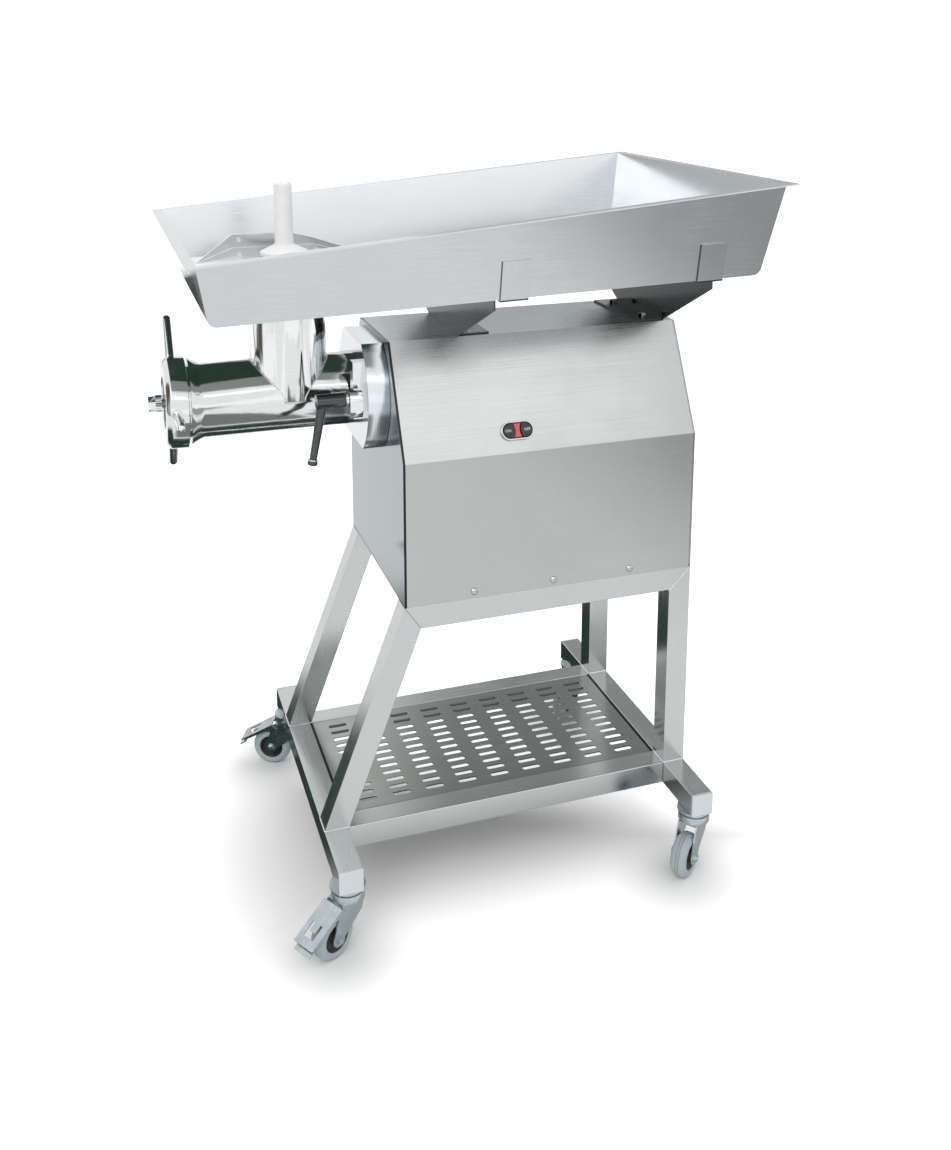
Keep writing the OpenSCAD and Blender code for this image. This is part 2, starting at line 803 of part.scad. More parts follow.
module motor_fan() color("dimgray") placed()
    along_x(motor_x1 - cowl_l + 10, motor_z) difference() {
        union() {
            cylinder(d = fan_hub_d, h = fan_w);
            cylinder(d = fan_d, h = 2);
            for (i = [0 : blades - 1]) rotate([0, 0, i * 360 / blades])
                translate([fan_hub_d / 2 - eps, -1, 0])
                    cube([(fan_d - fan_hub_d) / 2, 2, fan_w]);
        }
        translate([0, 0, -eps]) cylinder(d = motor_shaft_d, h = fan_w + 2 * eps);
    }

module motor_pinion() color("silver") placed() along_x(stage_1_x, motor_z) difference() {
    linear_extrude(gear_w) gear_outline(module_1, teeth_1, 180 + 180 / teeth_1);
    translate([0, 0, -eps]) cylinder(d = motor_shaft_d, h = gear_w + 2 * eps);
}

module middle_gear() color("silver") placed() {
    along_x(box_x0 + 1, mid_z) cylinder(d = mid_shaft_d, h = box_l - 2);
    along_x(stage_2_x, mid_z)
        linear_extrude(gear_w + gear_gap + 0.1) gear_outline(module_2, teeth_3, 180 + 180 / teeth_3);
    along_x(stage_1_x, mid_z) linear_extrude(gear_w) gear_outline(module_1, teeth_2, 0);
}

module output_gear() color("silver") placed() along_x(stage_2_x, head_z) difference() {
    linear_extrude(gear_w) gear_outline(module_2, teeth_4, 0);
    translate([0, 0, -eps]) cylinder(d = out_shaft_d, h = gear_w + 2 * eps);
}

module output_shaft() color("silver") placed() difference() {
    union() {
        along_x(tang_x + 1, head_z) cylinder(d = shaft_nose_d, h = box_x0 - tang_x - 2);
        along_x(box_x0 - 2, head_z) cylinder(d = out_shaft_d, h = out_end - box_x0 + 2);
    }
    translate([tang_x, -tang / 2 - fix_gap, head_z - tang / 2 - fix_gap])
        cube([tang_l + 2, tang + 2 * fix_gap, tang + 2 * fix_gap]);
}

module oil_seal() color("black") placed() along_x(disc_x + spigot_l + 2, head_z)
    ring(spigot_bore - 2 * fix_gap, shaft_nose_d + 2 * run_gap, box_x0 - disc_x - spigot_l - 4);

// ---- Grinding head ----

module mount_disc() color("lightgray") placed() difference() {
    intersection() {
        along_x(disc_x, head_z) cylinder(d = disc_d, h = disc_t, $fn = 128);
        translate([disc_x - eps, -disc_d, head_z - disc_flats / 2])
            cube([disc_t + 2 * eps, 2 * disc_d, disc_flats]);
    }
    along_x(disc_x - eps, head_z) cylinder(d = spigot_d + 2 * run_gap, h = spigot_l + 1 + eps);
    along_x(disc_x, head_z) cylinder(d = spigot_bore, h = disc_t + eps);
}

module clamp_block() color("white") placed() {
    translate([disc_x - lug_l, lug_y - lug_w / 2, head_z + lug_rise - lug_h / 2])
        cube([lug_l, lug_w, lug_h]);
    // The boss hangs beside the lug and carries the lever's pin
    translate([disc_x - lug_l - boss_l, lever_y - boss_d / 2, lever_z - boss_drop])
        cube([boss_l + lug_l / 2, boss_d, boss_drop]);
    for (z = [lever_z - boss_drop, lever_z]) along_x(disc_x - lug_l - boss_l, z, lever_y)
        cylinder(d = boss_d, h = boss_l + lug_l / 2);
    along_x(lever_x + lever_hub_d / 3, lever_z, lever_y)
        cylinder(d = clamp_pin_d, h = lever_hub_l);
}

module clamp_lever() color("black") placed() difference() {
    root_d = lever_hub_d * 0.66;
    tip_d = root_d - 4;
    union() {
        along_x(lever_x, lever_z, lever_y) cylinder(d = lever_hub_d, h = lever_hub_l);
        translate([lever_x + root_d * 0.7, lever_y, lever_z]) rotate([0, 180 + lever_lean, 0]) {
            cylinder(d1 = root_d, d2 = tip_d, h = lever_l, $fn = 32);
            translate([0, 0, lever_l - tip_d / 2]) cylinder(d = tip_d + 2, h = tip_d / 2);
        }
    }
    along_x(lever_x + lever_hub_d / 3 - eps, lever_z, lever_y)
        cylinder(d = clamp_pin_d + 2 * run_gap, h = lever_hub_l);
}

module grinding_head() color("silver") placed() difference() {
    union() {
        along_x(barrel_x, head_z) cylinder(d = barrel_d, h = barrel_l);
        along_x(barrel_x - flare_l, head_z)
            cylinder(d1 = nut_d - 6, d2 = barrel_d, h = flare_l);
        along_x(nose_x, head_z) cylinder(d = nose_d, h = nose_l + eps);
        along_x(disc_x - eps, head_z) cylinder(d = spigot_d, h = spigot_l + eps);
        translate([throat_x, 0, head_z]) cylinder(d = throat_d, h = throat_rise + pan_front);
    }
    // The top of the throat follows the underside of the pan's floor
    translate([throat_x, 0, throat_z - pan_sheet - seat_gap]) rotate([0, -atan(floor_fall), 0])
        translate([-throat_d, -throat_d, 0]) cube([2 * throat_d, 2 * throat_d, 2 * pan_front]);
    translate([throat_x, 0, head_z + 8]) cylinder(d = throat_bore, h = throat_rise);
    along_x(nose_x - eps, head_z)
        cylinder(d = plate_d + 2 * run_gap, h = chamber_x - nose_x + eps);
    along_x(nose_x, head_z) cylinder(d = bore_d, h = disc_x - head_wall - nose_x);
    along_x(nose_x, head_z) cylinder(d = journal_d + 2 * run_gap, h = disc_x - nose_x + eps);
    along_x(disc_x, head_z) cylinder(d = spigot_bore, h = spigot_l + eps);
}

// Outline of the auger's section: a core with one raised flight
module auger_outline() {
    r = auger_core_d / 2;
    circle(r = r, $fn = 14);
    polygon([[0, -r * 0.9], [auger_d * 0.3, -7], [auger_d / 2, -4], [auger_d / 2, 4],
        [auger_d * 0.3, 7], [0, r * 0.9]]);
}

module auger() color("gainsboro") placed() difference() {
    turns = (auger_end - auger_x) / auger_pitch;
    union() {
        along_x(auger_x + 1, head_z) linear_extrude(height = auger_end - auger_x - 1,
            twist = -360 * turns, slices = round(12 * turns)) auger_outline();
        along_x(auger_end - 4, head_z)
            cylinder(d = journal_d, h = tang_x - auger_end + 4);
        translate([tang_x - eps, -tang / 2, head_z - tang / 2])
            cube([tang_l + eps, tang, tang]);
        translate([knife_x, -square / 2, head_z - square / 2])
            cube([knife_t + 6, square, square]);
    }
    along_x(knife_x - eps, head_z) cylinder(d = stud_d + 2 * fix_gap, h = pin_in + eps);
}

module auger_pin() color("silver") placed()
    along_x(tip_x + 1, head_z) cylinder(d = stud_d, h = knife_x + pin_in - tip_x - 1);

module knife() color("silver") placed() difference() {
    hub = 2.2 * square;
    arm_w = 18;
    union() {
        along_x(knife_x, head_z) cylinder(d = hub, h = knife_t);
        for (i = [0 : 3]) translate([knife_x, 0, head_z]) rotate([i * 90, 0, 0])
            translate([0, -arm_w / 2, 0]) cube([knife_t, arm_w, plate_d / 2 - 4]);
    }
    translate([knife_x - eps, -square / 2 - fix_gap, head_z - square / 2 - fix_gap])
        cube([knife_t + 2 * eps, square + 2 * fix_gap, square + 2 * fix_gap]);
}

module hole_plate() color("gray") placed() along_x(plate_x, head_z) difference() {
    cylinder(d = plate_d, h = plate_t);
    translate([0, 0, -eps]) cylinder(d = stud_d + 2 * free_gap, h = plate_t + 2 * eps);
    // Three rings of holes, between the pin's hole and the ring nut's lip
    inner_r = stud_d;
    outer_r = nut_open_d / 2 - plate_hole_d;
    for (k = [1 : 3], i = [0 : 6 * (k + 1) - 1]) {
        r = inner_r + (outer_r - inner_r) * (k - 1) / 2;
        rotate([0, 0, i * 60 / (k + 1) + 15 * k]) translate([r, 0, -eps])
            cylinder(d = plate_hole_d, h = plate_t + 2 * eps, $fn = 24);
    }
}

module ring_nut() color("silver") placed() along_x(nut_x, head_z) difference() {
    union() {
        cylinder(d1 = nut_d - 2 * nut_chamfer, d2 = nut_d, h = nut_chamfer, $fn = 128);
        translate([0, 0, nut_chamfer]) cylinder(d = nut_d, h = nut_l - nut_chamfer, $fn = 128);
    }
    translate([0, 0, -eps]) cylinder(d = nut_open_d, h = nut_l);
    translate([0, 0, nut_lip]) cylinder(d = nose_d + 2 * run_gap, h = nut_l, $fn = 128);
}

module nut_handles() color("silver") placed() for (i = [0 : 2])
    translate([handle_x, 0, head_z]) rotate([90 + 120 * i, 0, 0]) difference() {
        union() {
            cylinder(d1 = handle_d + 3, d2 = handle_d - 2, h = handle_reach - handle_d / 2);
            translate([0, 0, handle_reach - handle_d / 2]) sphere(d = handle_d - 2);
        }
        rotate([0, 90, 0]) cylinder(d = nut_d, h = 2 * nut_l, center = true, $fn = 128);
    }

module stud_nut() color("white") placed() {
    along_x(collar_x - collar_t, head_z) difference() {
        linear_extrude(collar_t) polygon([for (i = [0 : 47])
            let (r = i % 2 == 0 ? stud_d : stud_d - 1) [r * cos(i * 7.5), r * sin(i * 7.5)]]);
        translate([0, 0, -eps]) cylinder(d = stud_d, h = collar_t + 2 * eps);
    }
    along_x(tip_x, head_z) difference() {
        cylinder(d = 2 * stud_d - 2, h = stud_nut_t, $fn = 6);
        translate([0, 0, 1]) cylinder(d = stud_d, h = stud_nut_t);
    }
}

// ---- Feed pan ----

// Half width of the pan's inside at x and z, its walls moved out by s
function pan_half(x, z, s) = pan_y + s - pan_taper * (rim_z(x) - z);

// Where an end wall, moved out by s, meets the floor, lowered by g
function pan_foot(left, g, s) =
    let (dir = left ? 1 : -1,
        side = left ? pan_x0 - s : pan_x1 + s,
        base = side - throat_x,
        x = (base + dir * pan_taper * (pan_depth + g)) / (1 - dir * pan_taper * fall) + throat_x)
    [x, floor_z(x) - g];

// Top of an end wall, moved out by s and carried on above the rim by e
function pan_top(left, s, e) =
    let (x = left ? pan_x0 - s - pan_taper * e : pan_x1 + s + pan_taper * e) [x, rim_z(x) + e];

// Points along a bend of radius r at corner b of the outline a, b, c
function bend(a, b, c, r) =
    let (u = (a - b) / norm(a - b), v = (c - b) / norm(c - b),
        half = acos(u * v) / 2,
        centre = b + (u + v) / norm(u + v) * r / sin(half),
        p = b + u * r / tan(half) - centre,
        q = b + v * r / tan(half) - centre,
        start = atan2(p.y, p.x),
        turn = atan2(q.y, q.x) - start,
        sweep = turn > 180 ? turn - 360 : turn < -180 ? turn + 360 : turn)
    [for (i = [0 : 8]) centre + r * [cos(start + sweep * i / 8), sin(start + sweep * i / 8)]];

// The pan's inside, its floor lowered by g, its walls moved out by s, and carried on above
// the rim by e
module pan_solid(g, s, e) {
    a = pan_top(true, s, e);
    b = pan_foot(true, g, s);
    c = pan_foot(false, g, s);
    d = pan_top(false, s, e);
    x0 = a.x - eps;
    x1 = d.x + eps;
    z1 = d.y + eps;
    intersection() {
        across_y(-2 * pan_y, 2 * pan_y)
            polygon(concat([a], bend(a, b, c, bend_r + g), bend(b, c, d, bend_r + g), [d]));
        block8([for (z = [b.y - pan_depth / 2, z1], c = [[x0, -1], [x1, -1], [x1, 1], [x0, 1]])
            [c[0], c[1] * pan_half(c[0], z, s), z]]);
    }
}

module feed_pan() color("aliceblue") placed() {
    x0 = pan_x0 - pan_flange;
    x1 = pan_x1 + pan_flange;
    difference() {
        union() {
            pan_solid(pan_sheet, side_sheet, 0);
            block8([for (z = [-pan_sheet, 0], c = [[x0, -1], [x1, -1], [x1, 1], [x0, 1]])
                [c[0], c[1] * pan_reach, rim_z(c[0]) + z]]);
            translate([throat_x, 0, floor_z(throat_x) - collar_l])
                cylinder(d = throat_bore - 2 * free_gap, h = collar_l);
        }
        pan_solid(0, 0, 4);
        translate([throat_x, 0, floor_z(throat_x) - 2 * collar_l])
            cylinder(d = throat_bore - 2 * free_gap - 2 * pan_sheet, h = 3 * collar_l);
    }
}

module pan_guard() color("aliceblue") placed() {
    flat_l = throat_x - guard_left;
    flat_r = throat_x + guard_right;
    low_l = pan_x0 + pan_taper * pan_depth + 12;
    low_r = flat_r + 3.3 * guard_h;
    z_l = floor_z(low_l) + guard_h / 2;
    z_r = floor_z(low_r) + guard_t + seat_gap;
    under = [[low_r, z_r - guard_t], [flat_r, deck], [flat_l, deck], [low_l, z_l - guard_t]];
    difference() {
        across_y(-guard_w / 2, guard_w / 2) polygon(concat(
            [[low_l, z_l], [flat_l, guard_top], [flat_r, guard_top], [low_r, z_r]], under));
        translate([throat_x, 0, deck - eps])
            cylinder(d = plunger_d + 2 * free_gap, h = guard_t + 2 * eps);
        translate([flat_r - 1.5 * guard_slot, guard_w / 4, deck - eps])
            cube([guard_slot, guard_slot / 3, guard_t + 2 * eps]);
    }
    // The upright edge at the back, with a hole to hang the guard by
    difference() {
        across_y(guard_w / 2 - guard_t, guard_w / 2) polygon(concat(
            [[flat_l, guard_top + guard_edge], [throat_x + guard_edge, guard_top + guard_edge],
                [flat_r, guard_top + guard_edge / 2], [low_r, z_r]], under));
        translate([flat_l + guard_edge / 2, guard_w / 2 + eps, guard_top + guard_edge * 0.6])
            rotate([90, 0, 0]) cylinder(d = guard_edge / 3, h = guard_t + 2 * eps);
    }
}

module pusher() color("white") placed() translate([throat_x, 0, guard_top + seat_gap])
    rotate_extrude() {
        polygon([[0, -plunger_l], [plunger_d / 2 - 4, -plunger_l], [plunger_d / 2, -plunger_l + 4],
            [plunger_d / 2, 0], [stop_d / 2, 0], [stop_d / 2, 5], [grip_d / 2 + 2, 16],
            [grip_d / 2, 20], [grip_d / 2, grip_h - 6], [grip_d / 2 - 2, grip_h - 2],
            [grip_d / 2 - 6, grip_h], [0, grip_h]]);
    }

// ---- Brackets ----

// A bracket whose web starts at x = web; its foot and tabs point along dir
module bracket(web, dir) {
    t = bracket_t;
    near = dir > 0 ? web : web - t;
    top = floor_z(web) - pan_sheet - seat_gap;
    far = web + dir * tab_w;
    reach = pan_y + side_sheet + seat_gap;
    // Half width of the pan's outside at x, a height h above its floor's underside
    function half_at(x, z) = reach - pan_taper * (rim_z(x) - z);
    function under(x) = floor_z(x) - pan_sheet - seat_gap;
    low = half_at(web, top) + t;
    difference() {
        union() {
            yz_prism(near, near + t) polygon([[-foot_l / 2, cab_z1], [foot_l / 2, cab_z1],
                [low - 30, top - 22], [low - 30, top - 2], [-low + 30, top - 2],
                [-low + 30, top - 22]]);
            translate([dir > 0 ? web : web - foot_w, -foot_l / 2, cab_z1])
                cube([foot_w, foot_l, t]);
        }
        bolt_places() cylinder(d = bolt_d + 2 * fix_gap, h = 4 * t, center = true);
    }
    // The flange under the pan, and a tab up each of its long walls
    xs = dir > 0 ? [web, far] : [far, web];
    block8([for (z = [-t, 0], c = [[0, -1], [1, -1], [1, 1], [0, 1]])
        let (x = xs[c[0]]) [x, c[1] * (half_at(x, under(x) + z) + t), under(x) + z]]);
    both_sides() block8([for (z = [-t, tab_h], c = [[0, t], [1, t], [1, 0], [0, 0]])
        let (x = xs[c[0]]) [x, -half_at(x, under(x) + z) - c[1], under(x) + z]]);
}

module pan_brackets() color("silver") placed() {
    bracket(web_x0, 1);
    bracket(web_x1, -1);
}

module bracket_bolts() color("white") placed() bolt_places() {
    hex_d = bolt_d * 1.9;
    translate([0, 0, -nut_h - sheet]) cylinder(d = bolt_d, h = bracket_t + sheet + nut_h + eps);
    translate([0, 0, bracket_t]) cylinder(d = hex_d, h = bolt_d * 0.6, $fn = 6);
    translate([0, 0, -sheet - nut_h]) cylinder(d = hex_d, h = nut_h, $fn = 6);
}

// ---- Casters ----

// Puts its children at caster i, with X along its trail
module at_caster(i) {
    translate([swivel_x[i], swivel_side[i] * swivel_y, 0]) rotate([0, 0, headings[i]]) children();
}

module on_axle() { translate([trail, 0, wheel_r]) rotate([90, 0, 0]) children(); }

module caster_tops() color("silver") placed() for (i = [0 : 3]) at_caster(i) {
    translate([0, 0, caster_h - top_t]) cylinder(d = swivel_d, h = top_t);
    translate([0, 0, crown_z - 4]) cylinder(d = pin_d, h = caster_h - crown_z + 2);
    translate([0, 0, crown_z - 4]) cylinder(d = pin_d + 8, h = 4 - free_gap);
}

// Outline of a fork's cheek
module fork_outline() {
    end_r = axle_d / 2 + 8;
    crown_top = crown_z + crown_t;
    polygon([[-crown_back, crown_top], [crown_front, crown_top], [trail - 1, crown_z - 14],
        [trail + end_r, wheel_r + 2], [trail - end_r, wheel_r - 1],
        [8 - crown_back, crown_z - 22]]);
    translate([trail, wheel_r]) circle(r = end_r);
}

module fork(pedal) difference() {
    hex_d = axle_d * 1.8;
    hex_h = 5;
    race_h = 14;
    union() {
        both_sides() across_y(-fork_out, -fork_in) fork_outline();
        translate([-crown_back, -fork_out, crown_z])
            cube([crown_back + crown_front, 2 * fork_out, crown_t]);
        translate([0, 0, crown_z]) cylinder(d = swivel_d - 4, h = race_h);
        translate([0, 0, crown_z])
            cylinder(d = swivel_d - 10, h = caster_h - top_t - free_gap - crown_z);
        on_axle() translate([0, 0, -fork_out - hex_h - 1])
            cylinder(d = axle_d, h = 2 * (fork_out + hex_h + 1));
        for (z = [-fork_out - hex_h, fork_out])
            on_axle() translate([0, 0, z]) cylinder(d = hex_d, h = hex_h, $fn = 6);
    }
    translate([0, 0, crown_z - eps]) cylinder(d = pin_d + 2 * run_gap, h = caster_h);
    if (pedal) translate([hinge_x, 0, hinge_z]) rotate([90, 0, 0])
        cylinder(d = pedal_pin_d + 2 * run_gap, h = 4 * fork_out, center = true);
}

module hub() on_axle() rotate_extrude() {
    bore_r = axle_d / 2 + run_gap;
    boss_r = bore_r + 6;
    end = fork_in - free_gap;
    rim = tread_w / 2 - 1;
    web = tread_w / 2 - 5;
    polygon([[bore_r, -end], [boss_r, -end], [boss_r + 1, -web], [hub_d / 2 - 4, -web],
        [hub_d / 2, -rim], [hub_d / 2, rim], [hub_d / 2 - 4, web], [boss_r + 1, web],
        [boss_r, end], [bore_r, end]]);
}

module tyre() on_axle() rotate_extrude($fn = 96) difference() {
    side = tread_w / 2;
    groove = 0.8;
    polygon([[hub_d / 2, 1 - side], [hub_d / 2 + 3, -side], [wheel_r - 7, -side],
        [wheel_r - 2, 4 - side], [wheel_r, 9 - side], [wheel_r, side - 9],
        [wheel_r - 2, side - 4], [wheel_r - 7, side], [hub_d / 2 + 3, side],
        [hub_d / 2, side - 1]]);
    for (s = [-1, 1]) translate([wheel_r - groove, s * 3 - groove / 2]) square([2, groove]);
}

// A brake pedal: its plate with a pressed tab, a lip below its end, two ears and their pin
module pedal() {
    ear_y = fork_out + 0.3;
    fwd = pedal_l - pedal_back;
    lip_w = pedal_w - 6;
    lip_drop = 8;
    tab = [24, 22];
    cut = [16, 12];
    translate([trail, 0, wheel_r]) rotate([0, pedal_tilt, 0]) translate([0, 0, pedal_up]) {
        difference() {
            translate([-pedal_back, -pedal_w / 2, 0]) cube([pedal_l, pedal_w, pedal_t]);
            difference() {
                translate([fwd - tab.x - 14, -tab.y / 2 - 1, -eps])
                    cube([tab.x, tab.y, pedal_t + 2 * eps]);
                translate([fwd - tab.x - 16, -cut.y / 2 - 1, -2 * eps])
                    cube([cut.x, cut.y, pedal_t + 4 * eps]);
            }
        }
        translate([fwd - 6, -lip_w / 2, -lip_drop]) cube([14, lip_w, pedal_t]);
        translate([fwd - 6, -lip_w / 2, -lip_drop]) cube([pedal_t, lip_w, lip_drop + eps / 2]);
        both_sides() across_y(-ear_y - pedal_ear, -ear_y)
            polygon([[-pedal_back, eps / 2], [fwd - 8, eps / 2], [fwd - 8, -3], [-10, -5],
                [6 - pedal_back, -12], [-pedal_back - 4, -12]]);
    }
    translate([hinge_x, 0, hinge_z]) rotate([90, 0, 0])
        cylinder(d = pedal_pin_d, h = 2 * (ear_y + pedal_ear), center = true);
}

module front_left_fork() color("silver") placed() at_caster(0) fork(true);
module front_right_fork() color("silver") placed() at_caster(1) fork(false);
module back_left_fork() color("silver") placed() at_caster(2) fork(true);
module back_right_fork() color("silver") placed() at_caster(3) fork(false);
module front_left_hub() color("black") placed() at_caster(0) hub();
module front_right_hub() color("black") placed() at_caster(1) hub();
module back_left_hub() color("black") placed() at_caster(2) hub();
module back_right_hub() color("black") placed() at_caster(3) hub();
module front_left_tyre() color("lightblue") placed() at_caster(0) tyre();
module front_right_tyre() color("lightblue") placed() at_caster(1) tyre();
module back_left_tyre() color("lightblue") placed() at_caster(2) tyre();
module back_right_tyre() color("lightblue") placed() at_caster(3) tyre();
module front_left_pedal() color("silver") placed() at_caster(0) pedal();
module back_left_pedal() color("silver") placed() at_caster(2) pedal();

cross_rails();
base_long_rails();
legs();
top_long_rails();
top_cross_rails();
rail_end_plates();
shelf_plate();
cabinet_cover();
left_wall();
right_wall();
base_plate();
cover_screws();
cable_gland();
motor_body();
motor_rotor();
motor_fan();
gearbox_case();
motor_pinion();
middle_gear();
output_gear();
output_shaft();
shaft_bearings();
oil_seal();
control_box();
switch_bezel();
switch_body();
start_button();
stop_button();
pilot_lens();
mount_disc();
clamp_block();
clamp_lever();
grinding_head();
auger();
auger_pin();
knife();
hole_plate();
ring_nut();
nut_handles();
stud_nut();
feed_pan();
pan_guard();
pusher();
pan_brackets();
bracket_bolts();
caster_tops();
front_left_fork();
front_right_fork();
back_left_fork();
back_right_fork();
front_left_hub();
front_right_hub();
back_left_hub();
back_right_hub();
front_left_tyre();
front_right_tyre();
back_left_tyre();
back_right_tyre();
front_left_pedal();
back_left_pedal();
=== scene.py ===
import json
import math

import bmesh
import bpy
from mathutils import Matrix, Vector


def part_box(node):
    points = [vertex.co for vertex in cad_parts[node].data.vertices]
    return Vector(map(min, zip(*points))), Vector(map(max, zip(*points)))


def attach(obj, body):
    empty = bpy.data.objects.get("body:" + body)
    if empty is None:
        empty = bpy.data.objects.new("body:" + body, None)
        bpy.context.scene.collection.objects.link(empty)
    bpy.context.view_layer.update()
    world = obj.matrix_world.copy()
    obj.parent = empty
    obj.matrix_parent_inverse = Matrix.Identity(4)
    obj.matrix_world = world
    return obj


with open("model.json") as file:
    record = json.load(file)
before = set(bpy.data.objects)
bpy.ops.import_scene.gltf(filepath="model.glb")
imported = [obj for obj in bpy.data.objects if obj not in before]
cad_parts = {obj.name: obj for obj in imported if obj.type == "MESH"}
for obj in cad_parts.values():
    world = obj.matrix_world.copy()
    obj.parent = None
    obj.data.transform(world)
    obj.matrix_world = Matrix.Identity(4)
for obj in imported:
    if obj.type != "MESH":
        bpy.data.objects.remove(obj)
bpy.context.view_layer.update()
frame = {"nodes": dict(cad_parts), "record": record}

NODES = frame["nodes"]
MM = 0.001


def middle(node):
    """Centre of a CAD node's box."""
    lo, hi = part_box(node)
    return (Vector(lo) + Vector(hi)) / 2


HEAD = middle("mount_disc")
HEAD_Y, HEAD_Z = HEAD.y, HEAD.z

# ---------------------------------------------------------------- materials


class Graph:
    """Short names for building a node tree."""

    def __init__(self, tree):
        self.tree = tree

    def node(self, kind, **settings):
        made = self.tree.nodes.new(kind)
        for key, value in settings.items():
            setattr(made, key, value)
        return made

    def link(self, a, b):
        self.tree.links.new(a, b)

    def feed(self, socket, value):
        """Sets a socket to a number, or links another socket to it."""
        if isinstance(value, (int, float)):
            socket.default_value = value
        else:
            self.link(value, socket)

    def math(self, operation, a, b=0.0):
        calc = self.node("ShaderNodeMath", operation=operation)
        self.feed(calc.inputs[0], a)
        self.feed(calc.inputs[1], b)
        return calc.outputs["Value"]

    def measure(self, operation, vector, other=(0, 0, 0)):
        """A number worked out from a vector and a fixed second one."""
        calc = self.node("ShaderNodeVectorMath", operation=operation)
        self.link(vector, calc.inputs[0])
        calc.inputs[1].default_value = other
        return calc.outputs["Value"]

    def span(self, value, low, high, start=0.3, end=0.7, kind="LINEAR"):
        """Maps a value between start and end onto low to high."""
        ramp = self.node("ShaderNodeMapRange", interpolation_type=kind)
        for socket, number in (("From Min", start), ("From Max", end), ("To Min", low),
                               ("To Max", high)):
            ramp.inputs[socket].default_value = number
        self.link(value, ramp.inputs["Value"])
        return ramp.outputs["Result"]

    def smooth(self, value, start, end, low=0, high=1):
        """Like span, with soft ends."""
        return self.span(value, low, high, start, end, "SMOOTHSTEP")

    def split(self, vector):
        """The three sockets of a vector."""
        parts = self.node("ShaderNodeSeparateXYZ")
        self.link(vector, parts.inputs["Vector"])
        return parts.outputs

    def coordinate(self, kind="Object"):
        """Where a point is in its object, or, as Normal, the way its surface faces."""
        return self.node("ShaderNodeTexCoord").outputs[kind]


class Look(Graph):
    """A material under construction: a Principled shader with helpers for its inputs."""

    def __init__(self, name, colour, roughness, metallic=0.0):
        self.mat = bpy.data.materials.new(name)
        self.mat.use_nodes = True
        self.mat.diffuse_color = (*colour, 1)
        super().__init__(self.mat.node_tree)
        self.bsdf = self.tree.nodes["Principled BSDF"]
        self.bsdf.inputs["Base Color"].default_value = (*colour, 1)
        self.bsdf.inputs["Roughness"].default_value = roughness
        self.bsdf.inputs["Metallic"].default_value = metallic
        self.place = self.coordinate()

    def facing(self):
        """The way the surface faces, as three sockets."""
        return self.split(self.coordinate("Normal"))

    def stretched(self, scale):
        """Object coordinates scaled by three factors, in cycles per metre."""
        mapping = self.node("ShaderNodeMapping")
        mapping.inputs["Scale"].default_value = scale
        self.link(self.place, mapping.inputs["Vector"])
        return mapping.outputs["Vector"]

    def noise(self, vector, detail, roughness):
        tex = self.node("ShaderNodeTexNoise")
        tex.inputs["Scale"].default_value = 1.0
        tex.inputs["Detail"].default_value = detail
        tex.inputs["Roughness"].default_value = roughness
        self.link(vector, tex.inputs["Vector"])
        return tex.outputs["Fac"]

    def tint(self, factor, other):
        """Mixes another colour over what the base colour is so far."""
        mix = self.node("ShaderNodeMix", data_type="RGBA")
        base = self.bsdf.inputs["Base Color"]
        if base.is_linked:
            self.link(base.links[0].from_socket, mix.inputs["A"])
        else:
            mix.inputs["A"].default_value = base.default_value
        mix.inputs["B"].default_value = (*other, 1)
        self.link(factor, mix.inputs["Factor"])
        self.link(mix.outputs["Result"], base)

    def rough(self, value):
        """Takes the roughness from a socket."""
        self.link(value, self.bsdf.inputs["Roughness"])

    def bump(self, height, strength, distance):
        """Adds relief to what the surface has so far."""
        made = self.node("ShaderNodeBump")
        made.inputs["Strength"].default_value = strength
        made.inputs["Distance"].default_value = distance
        normal = self.bsdf.inputs["Normal"]
        if normal.is_linked:
            self.link(normal.links[0].from_socket, made.inputs["Normal"])
        self.link(height, made.inputs["Height"])
        self.link(made.outputs["Normal"], normal)

    def around(self, axis_y, axis_z):
        """Radius from a line along X, and the place along X."""
        place = self.split(self.place)
        dy = self.math("SUBTRACT", place["Y"], axis_y)
        dz = self.math("SUBTRACT", place["Z"], axis_z)
        square = self.math("ADD", self.math("MULTIPLY", dy, dy), self.math("MULTIPLY", dz, dz))
        return self.math("SQRT", square), place["X"]

    def join(self, x, y, z):
        """A vector of three sockets or numbers."""
        made = self.node("ShaderNodeCombineXYZ")
        for socket, value in zip(made.inputs, (x, y, z)):
            self.feed(socket, value)
        return made.outputs["Vector"]


# How fine the brushed lines are along and across the grain, and the rings of turned parts, in
# cycles per metre
ALONG, ACROSS = 5, 900
GRAINS = {"x": (ALONG, ACROSS, ACROSS), "y": (ACROSS, ALONG, ACROSS),
          "z": (ACROSS, ACROSS, ALONG)}
RINGS = 1400


def deeper(colour, share):
    """The same colour with only a share of its light."""
    return tuple(c * share for c in colour)


def brushed(name, colour, roughness, grain, streak=0.1, patina=0.06, depth=0.25):
    """Brushed sheet: fine lines along one axis, with soft clouds of tone and gloss."""
    look = Look(name, colour, roughness, 1.0)
    lines = look.noise(look.stretched(GRAINS[grain]), 4, 0.65)
    clouds = look.noise(look.stretched((7, 7, 7)), 4, 0.6)
    look.tint(look.span(lines, 0, streak), deeper(colour, 0.35))
    look.tint(look.span(clouds, 0, patina), deeper(colour, 0.5))
    gloss = look.math("ADD", look.span(lines, -0.07, 0.07), look.span(clouds, -0.04, 0.05))
    look.rough(look.math("ADD", gloss, roughness))
    look.bump(lines, depth, 0.00006)
    return look


